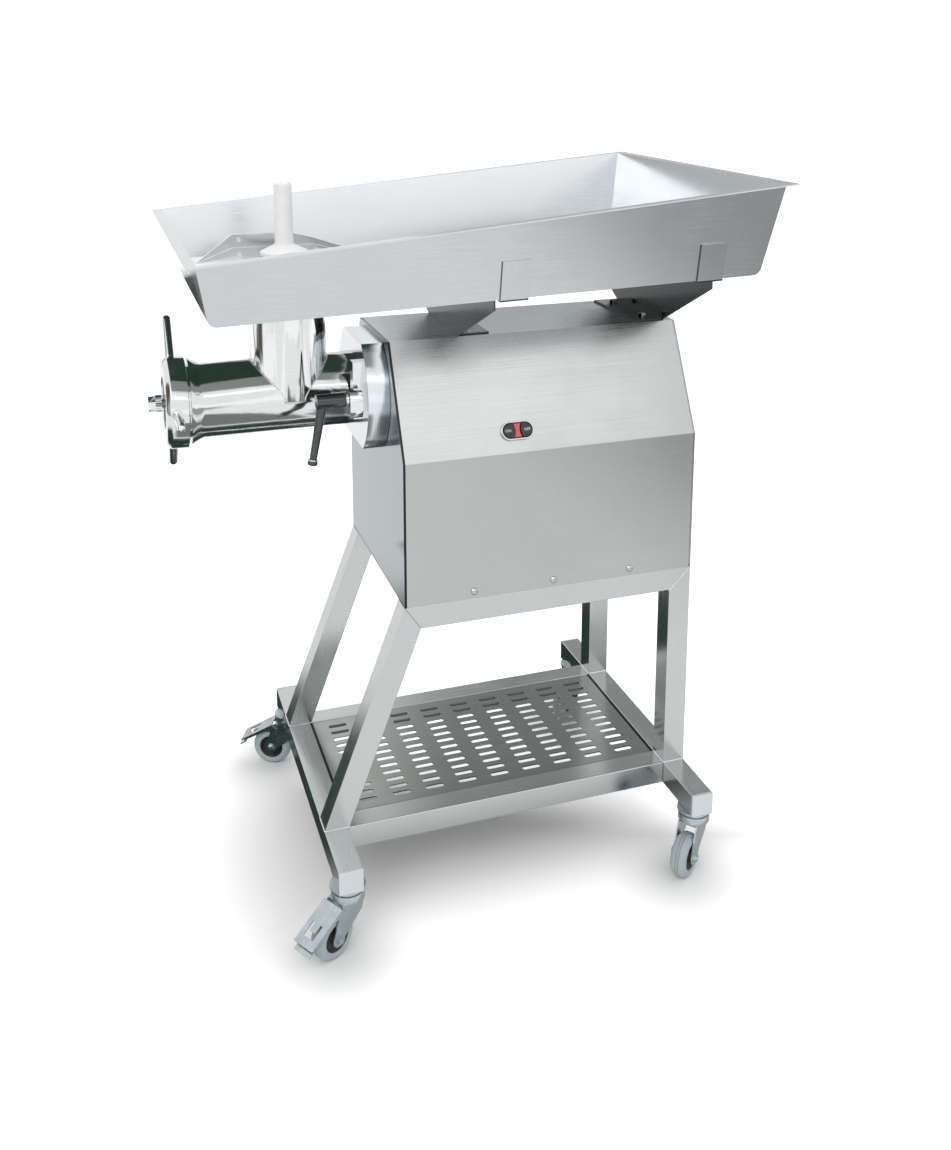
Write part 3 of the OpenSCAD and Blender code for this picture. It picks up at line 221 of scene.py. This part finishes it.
def turned(name, colour, roughness):
    """Lathe-turned metal: rings round the head's axis and along it."""
    look = Look(name, colour, roughness, 1.0)
    radius, x = look.around(HEAD_Y, HEAD_Z)
    rings = look.noise(look.join(look.math("MULTIPLY", radius, RINGS),
                                 look.math("MULTIPLY", x, RINGS), 0), 3, 0.6)
    clouds = look.noise(look.stretched((18, 18, 18)), 3, 0.5)
    look.tint(look.span(rings, 0, 0.16), deeper(colour, 0.4))
    gloss = look.math("ADD", look.span(rings, -0.06, 0.08), look.span(clouds, -0.03, 0.04))
    look.rough(look.math("ADD", gloss, roughness))
    look.bump(rings, 0.3, 0.00008)
    return look


def polished(name, colour, roughness, wave=0.35, dull=0.05, painted_reflection=(0.02, 0.05, 0.04)):
    """Mirror polish with slow waves in the surface, faint wipe marks and soft patches of painted
    dark reflection.
    """
    look = Look(name, colour, roughness, 1.0)
    swell = look.noise(look.stretched((22, 22, 22)), 2, 0.5)
    wipes = look.noise(look.stretched((60, 260, 260)), 4, 0.7)
    look.tint(look.span(wipes, 0, 0.1), deeper(colour, 0.4))
    # Painted reflection: soft dark patches over the swells
    look.tint(look.span(swell, 0, 0.08, 0.55, 0.8), painted_reflection)
    look.rough(look.span(wipes, roughness, roughness + dull))
    look.bump(swell, wave, 0.0012)
    return look


def moulded(name, colour, roughness, grain=1500, depth=0.2, coat=0.0, metallic=0.0):
    """Moulded plastic, rubber, paint or casting: a fine texture and a trace of dust."""
    look = Look(name, colour, roughness, metallic)
    fine = look.noise(look.stretched((grain, grain, grain)), 2, 0.5)
    dust = look.noise(look.stretched((30, 30, 30)), 5, 0.65)
    pale = tuple(min(1, c * 1.25 + 0.02) for c in colour)
    look.tint(look.span(dust, 0, 0.35, 0.45, 0.75), pale)
    look.rough(look.span(dust, roughness - 0.05, roughness + 0.1))
    look.bump(fine, depth, 0.00005)
    look.bsdf.inputs["Coat Weight"].default_value = coat
    return look


def zinc_plate():
    """Bright zinc: bluish pressed steel with a faint spangle and dull patches."""
    look = Look("zinc_plate", (0.54, 0.60, 0.63), 0.26, 1.0)
    patch = look.noise(look.stretched((55, 55, 55)), 4, 0.6)
    fine = look.noise(look.stretched((900, 900, 900)), 2, 0.5)
    look.tint(look.span(patch, 0, 0.4), (0.27, 0.32, 0.34))
    look.rough(look.span(patch, 0.18, 0.38))
    look.bump(fine, 0.15, 0.00004)
    return look


def red_lens():
    """Clear red plastic with moulded ribs inside."""
    look = Look("red_lens", (0.55, 0.02, 0.03), 0.18)
    ribs = look.node("ShaderNodeTexWave", bands_direction="Z")
    ribs.inputs["Scale"].default_value = 160
    look.link(look.place, ribs.inputs["Vector"])
    look.tint(look.span(ribs.outputs["Fac"], 0, 0.5, 0, 1), (0.95, 0.14, 0.16))
    look.bsdf.inputs["Coat Weight"].default_value = 0.6
    look.bump(ribs.outputs["Fac"], 0.15, 0.0002)
    return look


MATERIALS = {
    "tube_x": brushed("tube_steel_x", (0.58, 0.60, 0.60), 0.2, "x", 0.03, 0.06, 0.12),
    "tube_y": brushed("tube_steel_y", (0.58, 0.60, 0.60), 0.2, "y", 0.03, 0.06, 0.12),
    "tube_z": brushed("tube_steel_z", (0.58, 0.60, 0.60), 0.2, "z", 0.03, 0.06, 0.12),
    "shelf": brushed("shelf_steel", (0.42, 0.45, 0.43), 0.2, "x", 0.12, 0.3, 0.15),
    "cover": brushed("cover_steel", (0.505, 0.515, 0.515), 0.24, "x", 0.04, 0.06, 0.12),
    "wall": polished("wall_steel", (0.33, 0.37, 0.40), 0.16, 0.05, 0.06, (0.3, 0.33, 0.36)),
    "end": brushed("end_plate_steel", (0.66, 0.70, 0.73), 0.22, "z", 0.05, 0.08, 0.12),
    "bracket": brushed("bracket_steel", (0.62, 0.64, 0.65), 0.16, "z", 0.08, 0.1, 0.12),
    "bezel": polished("bezel_steel", (0.50, 0.52, 0.52), 0.16, 0.2),
    "bright": polished("bright_steel", (0.82, 0.83, 0.84), 0.1, 0.2),
    "disc": turned("turned_steel", (0.80, 0.84, 0.87), 0.2),
    "head": polished("head_polish", (0.78, 0.80, 0.80), 0.08, 0.4),
    "tool": turned("tool_steel", (0.33, 0.34, 0.35), 0.38),
    "pan": brushed("pan_steel", (0.64, 0.66, 0.67), 0.2, "x", 0.12, 0.08, 0.15),
    "zinc": zinc_plate(),
    "centre": moulded("wheel_plastic", (0.018, 0.018, 0.02), 0.5),
    "tyre": moulded("tyre_rubber", (0.36, 0.43, 0.465), 0.55, 900),
    "band": moulded("tyre_band", (0.36, 0.36, 0.34), 0.6, 900),
    "black": moulded("black_plastic", (0.02, 0.022, 0.024), 0.38, coat=0.1),
    "button": moulded("button_plastic", (0.014, 0.017, 0.019), 0.3, coat=0.2),
    "lens": red_lens(),
    "lever": moulded("lever_enamel", (0.012, 0.022, 0.022), 0.16, 300, 0.08, 0.9),
    "nylon": moulded("white_nylon", (0.76, 0.76, 0.77), 0.42, 600, 0.1),
    "motor": moulded("motor_paint", (0.10, 0.13, 0.16), 0.5, 500),
    "cast": moulded("cast_aluminium", (0.45, 0.46, 0.47), 0.5, 700, 0.5, metallic=1.0),
    "gear": turned("gear_steel", (0.40, 0.40, 0.40), 0.35),
    "seal": moulded("seal_rubber", (0.015, 0.015, 0.015), 0.6),
}


def painted_light_inside(look, colour, painted_wall_shade):
    """Painted light and shade on the pan: its inner walls are painted brighter, and the wall that
    faces left is painted dark.
    """
    facing = look.facing()
    up, left = facing["Z"], look.math("MULTIPLY", facing["X"], -1)
    sloping = look.span(up, 0, 1, 0.02, 0.12)
    wall = look.math("MULTIPLY", sloping, look.span(up, 1, 0.2, 0.8, 0.95))
    look.tint(wall, colour)
    look.tint(look.math("MULTIPLY", look.span(left, 0, 0.9, 0.5, 0.8), wall), painted_wall_shade)


def shaded_web(look, colour, height, slope):
    """Darker below a plane that slopes up along X: there the brackets' webs are in shadow."""
    place = look.split(look.place)
    above = look.math("SUBTRACT", place["Z"], look.math("MULTIPLY", place["X"], slope))
    look.tint(look.span(above, 0.95, 0, height - 0.001, height), colour)


def dark_left_edges(look, colour):
    """A sheet's cut edges that face left are in shadow."""
    look.tint(look.span(look.facing()["X"], 0.9, 0, -0.75, -0.6), colour)


def dark_rim(look, colour):
    """The whole rim of the left wall is in shadow."""
    rim = look.span(look.math("ABSOLUTE", look.facing()["X"]), 0.95, 0, 0.5, 0.8)
    left = look.span(look.split(look.place)["X"], 1, 0, 0, 0.01)
    look.tint(look.math("MULTIPLY", rim, left), colour)


def painted_shade_top(look, colour):
    """Painted shade: the level top of the cover is darker and bluer than its sides."""
    look.tint(look.span(look.facing()["Z"], 0, 0.85, 0.9, 0.97), colour)


def painted_shadow_ends(look, colour, node, thick):
    """Painted shadow along the two ends of a sheet that lies between rails, like a dark gap."""
    place = look.split(look.place)
    for end, inward in zip(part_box(node), (1, -1)):
        limit = end[0] + inward * thick
        look.tint(look.span(place["X"], 0.95, 0, limit - inward * 0.0005, limit), colour)


def painted_seam_shadow(look, colour, low, thick):
    """Painted shadow: a thin dark line along a sheet's lower edge, where it stands on the frame."""
    height = look.split(look.place)["Z"]
    look.tint(look.span(height, 0.9, 0, low + thick * 0.6, low + thick), colour)


# The height of the pan floor's underside at x = 0, and how much it rises in a metre of X
PAN_UNDERSIDE, PAN_SLOPE = 1.0466, 0.025
# Painted light on the pan's inner walls and painted shade on the one that faces left
painted_light_inside(MATERIALS["pan"], (0.74, 0.76, 0.77), (0.42, 0.45, 0.47))
shaded_web(MATERIALS["bracket"], (0.045, 0.06, 0.057), PAN_UNDERSIDE, PAN_SLOPE)
dark_rim(MATERIALS["wall"], (0.012, 0.014, 0.014))
dark_left_edges(MATERIALS["bracket"], (0.03, 0.033, 0.033))
# Painted shade on the cover's top
painted_shade_top(MATERIALS["cover"], (0.37, 0.42, 0.45))
# Painted shadow at the shelf's two ends
painted_shadow_ends(MATERIALS["shelf"], (0.02, 0.022, 0.022), "shelf_plate", 0.0045)
# Painted shadow along the left wall's lower edge
painted_seam_shadow(MATERIALS["wall"], (0.02, 0.025, 0.025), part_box("left_wall")[0][2], 0.0035)

# ---------------------------------------------------------------- CAD nodes

SHARP_EDGE = math.radians(32)


def dress(nodes, key, bevel, segments=2):
    """Gives CAD nodes a material, and rounds their sharp edges by bevel, in millimetres."""
    for name in nodes:
        node = NODES[name]
        node.data.materials.clear()
        node.data.materials.append(MATERIALS[key].mat)
        if not bevel:
            continue
        weld = node.modifiers.new("weld", "WELD")
        weld.merge_threshold = 0.01 * MM
        edge = node.modifiers.new("edge", "BEVEL")
        edge.width = bevel * MM
        edge.segments = segments
        edge.limit_method = "ANGLE"
        edge.angle_limit = SHARP_EDGE
        edge.harden_normals = True


CASTERS = ["front_left", "front_right", "back_left", "back_right"]
dress(["base_long_rails", "top_long_rails"], "tube_x", 1.5, 3)
dress(["cross_rails", "top_cross_rails"], "tube_y", 1.5, 3)
dress(["legs"], "tube_z", 1.5, 3)
dress(["rail_end_plates"], "end", 0.8)
dress(["shelf_plate"], "shelf", 0)
dress(["cabinet_cover", "base_plate"], "cover", 0)
dress(["left_wall", "right_wall"], "wall", 0.4)
dress(["bracket_bolts", "clamp_block", "stud_nut"], "bright", 0.3)
dress(["cover_screws"], "bezel", 0.3)
dress(["mount_disc"], "disc", 1.0, 3)
dress(["grinding_head", "nut_handles", "auger"], "head", 0.8, 3)
dress(["ring_nut"], "head", 1.5, 3)
dress(["knife", "hole_plate", "auger_pin"], "tool", 0.3)
dress(["feed_pan", "pan_guard"], "pan", 0.4)
dress(["pan_brackets"], "bracket", 0.4)
dress(["switch_bezel"], "bezel", 0.4, 3)
dress(["caster_tops"] + [c + "_fork" for c in CASTERS], "zinc", 0.6)
dress([c + "_pedal" for c in ("front_left", "back_left")], "zinc", 0.4)
dress([c + "_hub" for c in CASTERS], "centre", 0.5)
dress([c + "_tyre" for c in CASTERS], "tyre", 0.4)
dress(["cable_gland", "control_box", "motor_fan", "switch_body"], "black", 0.4)
dress(["start_button", "stop_button"], "button", 0.8, 3)
dress(["pilot_lens"], "lens", 0.6, 3)
dress(["clamp_lever"], "lever", 1.0, 3)
dress(["pusher"], "nylon", 1.5, 3)
dress(["motor_body"], "motor", 0.8)
dress(["gearbox_case"], "cast", 2.0)
dress(["motor_rotor", "motor_pinion", "middle_gear", "output_gear", "output_shaft",
       "shaft_bearings"], "gear", 0)
dress(["oil_seal"], "seal", 0)

# ---------------------------------------------------------------- small pieces

JOINTS = {joint["name"]: joint for joint in frame["record"]["behaviour"]["joints"]}


def piece(name, mesh, key, body):
    """Adds a smooth mesh to the scene with a material and a body to ride."""
    made = bpy.data.objects.new(name, mesh)
    mesh.materials.append(MATERIALS[key].mat)
    bpy.context.scene.collection.objects.link(made)
    for face in mesh.polygons:
        face.use_smooth = True
    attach(made, body)


def as_mesh(name, shape):
    """Turns a finished bmesh into a mesh whose faces all look outward."""
    bmesh.ops.recalc_face_normals(shape, faces=shape.faces)
    mesh = bpy.data.meshes.new(name)
    shape.to_mesh(mesh)
    shape.free()
    return mesh


def swept(name, paths, radius, sides=8, closed=False):
    """A mesh of round beads, one along each path of points."""
    shape = bmesh.new()
    for path in paths:
        points = [Vector(p) for p in path]
        count = len(points)
        rings = []
        normal = None
        for i, point in enumerate(points):
            after = points[(i + 1) % count] if closed or i < count - 1 else point
            before = points[i - 1] if closed or i else point
            along = (after - before).normalized()
            if normal is None:
                normal = along.orthogonal().normalized()
            normal = (normal - along * normal.dot(along)).normalized()
            other = along.cross(normal)
            ring = []
            for k in range(sides):
                a = 2 * math.pi * k / sides
                out = normal * math.cos(a) + other * math.sin(a)
                ring.append(shape.verts.new(point + radius * out))
            rings.append(ring)
        pairs = list(zip(rings, rings[1:]))
        if closed:
            pairs.append((rings[-1], rings[0]))
        for one, two in pairs:
            for k in range(sides):
                n = (k + 1) % sides
                shape.faces.new((one[k], one[n], two[n], two[k]))
        if not closed:
            shape.faces.new(reversed(rings[0]))
            shape.faces.new(rings[-1])
    return as_mesh(name, shape)


def lathed(name, profile, centre, axis, steps=96):
    """A closed profile of (radius, place along axis), in millimetres, turned round an axis."""
    shape = bmesh.new()
    axis = Vector(axis).normalized()
    side = axis.orthogonal().normalized()
    other = axis.cross(side)
    rings = []
    for k in range(steps):
        a = 2 * math.pi * k / steps
        out = side * math.cos(a) + other * math.sin(a)
        rings.append([shape.verts.new(Vector(centre) + MM * (out * r + axis * s))
                      for r, s in profile])
    for k in range(steps):
        one, two = rings[k], rings[(k + 1) % steps]
        for i in range(len(profile)):
            n = (i + 1) % len(profile)
            shape.faces.new((one[i], one[n], two[n], two[i]))
    return as_mesh(name, shape)


# The welds where the throat joins the barrel: over its top, left and right of the throat, and
# along its front and back
THROAT_X = middle("pusher").x
BARREL_R, THROAT_R, THROAT_BEAD = 0.062, 0.064, 0.0013
SIDE_WELD_HALF, SIDE_WELD_SUNK = 0.0159, 0.0005
joins = []
for side in (-1, 1):
    join = []
    for a in (math.radians(degrees) for degrees in range(-90, 91, 3)):
        y = BARREL_R * math.sin(a)
        join.append((THROAT_X + side * math.sqrt(THROAT_R ** 2 - y ** 2), HEAD_Y + y,
                     HEAD_Z + BARREL_R * math.cos(a)))
    joins.append(join)
for face in (-1, 1):
    half = math.asin(SIDE_WELD_HALF / THROAT_R)
    join = []
    for a in (half * k / 6 for k in range(-6, 7)):
        out = THROAT_R * math.cos(a) - SIDE_WELD_SUNK
        join.append((THROAT_X + THROAT_R * math.sin(a), HEAD_Y + face * out, HEAD_Z))
    joins.append(join)
piece("throat_welds", swept("throat_welds", joins, THROAT_BEAD), "bright", "stand")

# The welds round the feet of the legs, with small ripples
LEG_BEAD, LEG_BEAD_LIFT, RIPPLE, RIPPLE_STEPS = 0.0011, 0.0003, 0.0002, 24
legs = NODES["legs"].data
low_z = min(v.co.z for v in legs.vertices)
mid_x = middle("legs").x
feet = []
for sx in (-1, 1):
    for sy in (-1, 1):
        foot = [v.co for v in legs.vertices if v.co.z < low_z + MM
                and (v.co.x - mid_x) * sx > 0 and v.co.y * sy > 0]
        x0, x1 = min(c.x for c in foot), max(c.x for c in foot)
        y0, y1 = min(c.y for c in foot), max(c.y for c in foot)
        corners = [(x0, y0), (x1, y0), (x1, y1), (x0, y1)]
        loop = []
        for (ax, ay), (bx, by) in zip(corners, corners[1:] + corners[:1]):
            for k in range(RIPPLE_STEPS):
                along = k / RIPPLE_STEPS
                loop.append((ax + (bx - ax) * along, ay + (by - ay) * along,
                             low_z + LEG_BEAD_LIFT + (RIPPLE if k % 2 else 0)))
        feet.append(loop)
piece("leg_welds", swept("leg_welds", feet, LEG_BEAD, closed=True), "bright", "stand")

# A grey band round each tyre, between its two grooves
BAND = [(37.1, -2.5), (37.45, -2.5), (37.58, -2.1), (37.58, 2.1), (37.45, 2.5), (37.1, 2.5)]
for caster in CASTERS:
    roll = JOINTS[caster + "_roll"]
    band = lathed(caster + "_band", BAND, roll["pos_m"], roll["axis"])
    piece(caster + "_band", band, "band", caster + "_wheel")

# The lever's bright collar at its hub, and the cap and ring at the end of its leaning arm
COLLAR = [(7, -4.6), (12.4, -4.6), (12.6, -4.2), (12.6, -0.4), (12.2, 0), (7, 0)]
RING = [(4, -9), (7.3, -9), (7.6, -8.6), (7.6, -6.8), (7.3, -6.4), (4, -6.4)]
CAP = [(3, -6.2), (7.6, -6.2), (8.3, -5.2), (8.3, -1.2), (7.3, 0.3), (3, 1)]
HUB_LENGTH, ARM_INSET, ARM_LENGTH, ARM_LEAN = 0.052, 0.0111, 106 * MM, math.radians(11)
ARM_SIDES = 48
swing = Vector(JOINTS["clamp_swing"]["pos_m"])
hub_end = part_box("clamp_lever")[1][0]
collar = lathed("lever_collar", COLLAR, (hub_end, swing.y, swing.z), (1, 0, 0))
piece("lever_collar", collar, "bright", "lever")
arm = Vector((-math.sin(ARM_LEAN), 0, -math.cos(ARM_LEAN)))
arm_end = Vector((hub_end - HUB_LENGTH + ARM_INSET, swing.y, swing.z)) + arm * ARM_LENGTH
ring = lathed("lever_ring", RING, arm_end, arm, ARM_SIDES)
piece("lever_ring", ring, "bright", "lever")
cap = lathed("lever_cap", CAP, arm_end, arm, ARM_SIDES)
piece("lever_cap", cap, "lever", "lever")

# Generic words on the two buttons
WORD_X, WORD_SIZE, WORD_DEPTH, WORD_LIFT = 0.0165, 0.0062, 0.00002, 0.00003
inward = Vector(JOINTS["start_press"]["axis"])
upward = Vector((0, -inward.z, inward.y))
switch_mid = middle("switch_bezel")
for name, word, along in (("start", "ON", -WORD_X), ("stop", "OFF", WORD_X)):
    button = NODES[name + "_button"].data
    proud = max(-v.co.dot(inward) for v in button.vertices)
    spot = switch_mid + Vector((along, 0, 0))
    spot -= inward * (proud + spot.dot(inward) + WORD_LIFT)
    text = bpy.data.curves.new(name + "_word", "FONT")
    text.body = word
    text.size = WORD_SIZE
    text.align_x, text.align_y = "CENTER", "CENTER"
    text.extrude = WORD_DEPTH
    text.materials.append(MATERIALS["nylon"].mat)
    label = bpy.data.objects.new(name + "_word", text)
    axes = Matrix((Vector((1, 0, 0)), upward, -inward)).transposed()
    label.matrix_world = Matrix.Translation(spot) @ axes.to_4x4()
    bpy.context.scene.collection.objects.link(label)
    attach(label, name)

# ---------------------------------------------------------------- stage, light, camera


def plane(name, centre, size, normal):
    """A flat card facing along normal, its own Y axis upright or, on the floor, along Y."""
    mesh = bpy.data.meshes.new(name)
    half_w, half_h = size[0] / 2, size[1] / 2
    mesh.from_pydata([(-half_w, -half_h, 0), (half_w, -half_h, 0), (half_w, half_h, 0),
                      (-half_w, half_h, 0)], [], [(0, 1, 2, 3)])
    card = bpy.data.objects.new(name, mesh)
    facing = Vector(normal).normalized()
    across = Vector((0, 0, 1)).cross(facing).normalized()
    if abs(facing.z) > 0.9:
        across = Vector((1, 0, 0))
    axes = Matrix((across, facing.cross(across), facing)).transposed()
    card.matrix_world = Matrix.Translation(centre) @ axes.to_4x4()
    bpy.context.scene.collection.objects.link(card)
    return card


def seen_plainly(graph):
    """One where the camera, a mirror or glass looks straight at a stage surface, else zero."""
    path = graph.node("ShaderNodeLightPath").outputs
    total = path["Is Camera Ray"]
    for ray in ("Is Glossy Ray", "Is Transmission Ray"):
        total = graph.math("MAXIMUM", total, path[ray])
    return total


# How brightly the floor glows under the frame, in front of it, behind it and far from it
FLOOR_GLOW, FRONT_GLOW, BACK_GLOW, FAR_GLOW = 0.0, 0.36, 0.6, 0.42
# Where the painted shadow on the floor has its middle and its soft edges: round that middle,
# toward the front along Y, toward the back along BACK_SIDE, and round each caster
SHADOW_MIDDLE, BACK_SIDE = (0.12, -0.05, 0), (0.6, 1, 0)
ROUND_EDGE, FRONT_EDGE = (0.4, 0.66), (-0.3, -0.14)
BACK_EDGE, CASTER_EDGE = (0.0, 0.2), (0.02, 0.15)
# How bright the surroundings are as a light, next to how bright they look
WORLD_LEVEL = 0.8


def floor_material():
    """Matt white floor that keeps shadows.

    It also glows, but only where it is looked at straight. The glow is shaped by place, which
    paints a shadow: least glow under the frame, so that the shadow there shows, and none close to a
    caster."""
    mat = bpy.data.materials.new("floor_white")
    mat.use_nodes = True
    shader = mat.node_tree.nodes["Principled BSDF"].inputs
    shader["Base Color"].default_value = (0.9, 0.9, 0.9, 1)
    shader["Roughness"].default_value = 0.9
    shader["Specular IOR Level"].default_value = 0.0
    shader["Emission Color"].default_value = (1, 1, 1, 1)
    graph = Graph(mat.node_tree)
    place = graph.coordinate()
    away = graph.measure("DISTANCE", place, SHADOW_MIDDLE)
    near = graph.smooth(away, *ROUND_EDGE, FLOOR_GLOW, FAR_GLOW)
    before = graph.smooth(graph.split(place)["Y"], *FRONT_EDGE, FRONT_GLOW, 0)
    back = graph.measure("DOT_PRODUCT", place, BACK_SIDE)
    behind = graph.smooth(back, *BACK_EDGE, 0, BACK_GLOW)
    most = graph.math("MAXIMUM", graph.math("MAXIMUM", near, before), behind)
    # Painted contact shadow: no glow close to each caster
    for caster in CASTERS:
        reach = graph.measure("DISTANCE", place, (*middle(caster + "_tyre").xy, 0))
        most = graph.math("MULTIPLY", most, graph.smooth(reach, *CASTER_EDGE))
    graph.link(graph.math("MULTIPLY", seen_plainly(graph), most), shader["Emission Strength"])
    return mat


floor = plane("floor", (0, 0, 0), (60, 60), (0, 0, 1))
floor.data.materials.append(floor_material())


def mirror_card(name, centre, size, normal, zones, dark):
    """A studio card that only polished metal sees: dark within soft-edged boxes, white outside.

    Each zone is (x0, x1, y0, y1, fade, depth) in the card's own metres."""
    card = plane(name, centre, size, normal)
    mat = bpy.data.materials.new(name)
    mat.use_nodes = True
    nodes = mat.node_tree.nodes
    nodes.remove(nodes["Principled BSDF"])
    graph = Graph(mat.node_tree)
    glow = graph.node("ShaderNodeEmission")
    graph.link(glow.outputs["Emission"], nodes["Material Output"].inputs["Surface"])
    place = graph.split(graph.coordinate())
    shade = 0.0
    for x0, x1, y0, y1, fade, depth in zones:
        inside = depth
        for axis, low, high in (("X", x0, x1), ("Y", y0, y1)):
            inside = graph.math("MULTIPLY", graph.smooth(place[axis], low - fade, low), inside)
            inside = graph.math("MULTIPLY", graph.smooth(place[axis], high + fade, high), inside)
        shade = graph.math("MAXIMUM", inside, shade)
    mix = graph.node("ShaderNodeMix", data_type="RGBA")
    graph.link(shade, mix.inputs["Factor"])
    mix.inputs["A"].default_value = (1, 1, 1, 1)
    mix.inputs["B"].default_value = (*dark, 1)
    graph.link(mix.outputs["Result"], glow.inputs["Color"])
    card.data.materials.append(mat)
    for ray in ("camera", "diffuse", "transmission", "volume_scatter", "shadow"):
        setattr(card, "visible_" + ray, False)


DUSK = (0.03, 0.05, 0.04)
mirror_card("floor_card", (0, 0, 0.002), (9, 9), (0, 0, 1),
            [(-1.5, 1.2, 0.0, 0.75, 0.32, 1.0),
             (-1.2, 1.0, -0.3, 0.5, 0.12, 0.5),
             (1.7, 4.0, -4.0, -1.1, 0.9, 0.65)], DUSK)
mirror_card("low_card", (HEAD.x - 0.165, -0.26, 0.6), (0.36, 0.36), (0, 0, 1),
            [(-0.15, 0.15, -0.15, 0.15, 0.03, 0.82)], DUSK)
mirror_card("under_card", (HEAD.x - 0.18, HEAD_Y, HEAD_Z + 0.16), (0.5, 0.6), (0, 0, -1),
            [(-0.18, 0.18, -0.2, 0.09, 0.04, 1.0),
             (-0.18, 0.18, -0.2, 0.2, 0.03, 0.75)], DUSK)
mirror_card("back_card", (0.8, 6.0, 4.2), (9, 4.4), (0, -1, 0),
            [(1.0, 4, -0.8, 1.6, 0.7, 0.72),
             (0.8, 4, -1.9, -0.6, 0.25, 0.45)], DUSK)
mirror_card("back_left_card", (-2.2, 6.0, 1.15), (4, 1.3), (0, -1, 0),
            [(-1.6, 1.6, -0.4, 0.4, 0.25, 0.45)], DUSK)
mirror_card("side_card", (-3.2, 0.2, 1.0), (1.6, 2.4), (1, 0, 0),
            [(-0.35, 0.35, -1.0, 1.0, 0.35, 1.0)], (0.12, 0.10, 0.08))

world = bpy.data.worlds.new("studio")
bpy.context.scene.world = world
world.use_nodes = True
sky = Graph(world.node_tree)
background = world.node_tree.nodes["Background"].inputs
background["Color"].default_value = (1, 1, 1, 1)
sky.link(sky.span(seen_plainly(sky), WORLD_LEVEL, 1, 0, 1), background["Strength"])


def softbox(name, place, aim, size, power, tone=(1, 1, 1)):
    """A large area lamp at place, facing aim."""
    data = bpy.data.lights.new(name, "AREA")
    data.shape = "RECTANGLE"
    data.size, data.size_y = size
    data.energy = power
    data.color = tone
    lamp = bpy.data.objects.new(name, data)
    lamp.location = place
    lamp.rotation_mode = "QUATERNION"
    lamp.rotation_quaternion = (Vector(aim) - Vector(place)).to_track_quat("-Z", "Y")
    bpy.context.scene.collection.objects.link(lamp)


softbox("key", (-2.0, -2.4, 3.2), (0, 0, 0.7), (2.4, 2.4), 40, (1.0, 0.98, 0.96))
softbox("fill", (0.45, -2.7, 3.0), (0, 0, 0.8), (2.8, 2.0), 10, (0.99, 0.99, 1.0))
softbox("top", (0.2, 0.6, 3.6), (0, 0, 0.8), (2.4, 1.8), 16)

camera_data = bpy.data.cameras.new("camera")
camera = bpy.data.objects.new("camera", camera_data)
bpy.context.scene.collection.objects.link(camera)
bpy.context.scene.camera = camera
VIEW_AZIMUTH, VIEW_ELEVATION = math.radians(-18.6), math.radians(11.3)
toward_camera = Vector((math.sin(VIEW_AZIMUTH) * math.cos(VIEW_ELEVATION),
                        -math.cos(VIEW_AZIMUTH) * math.cos(VIEW_ELEVATION),
                        math.sin(VIEW_ELEVATION)))
camera.location = (-0.5866, -1.9354, 1.413)
camera.rotation_mode = "QUATERNION"
camera.rotation_quaternion = (-toward_camera).to_track_quat("-Z", "Y")
camera_data.sensor_width = 36
camera_data.lens = 37.63
camera_data.shift_y = -0.248
camera_data.clip_start = 0.05

bpy.context.scene.view_settings.view_transform = "Standard"

bpy.context.view_layer.update()
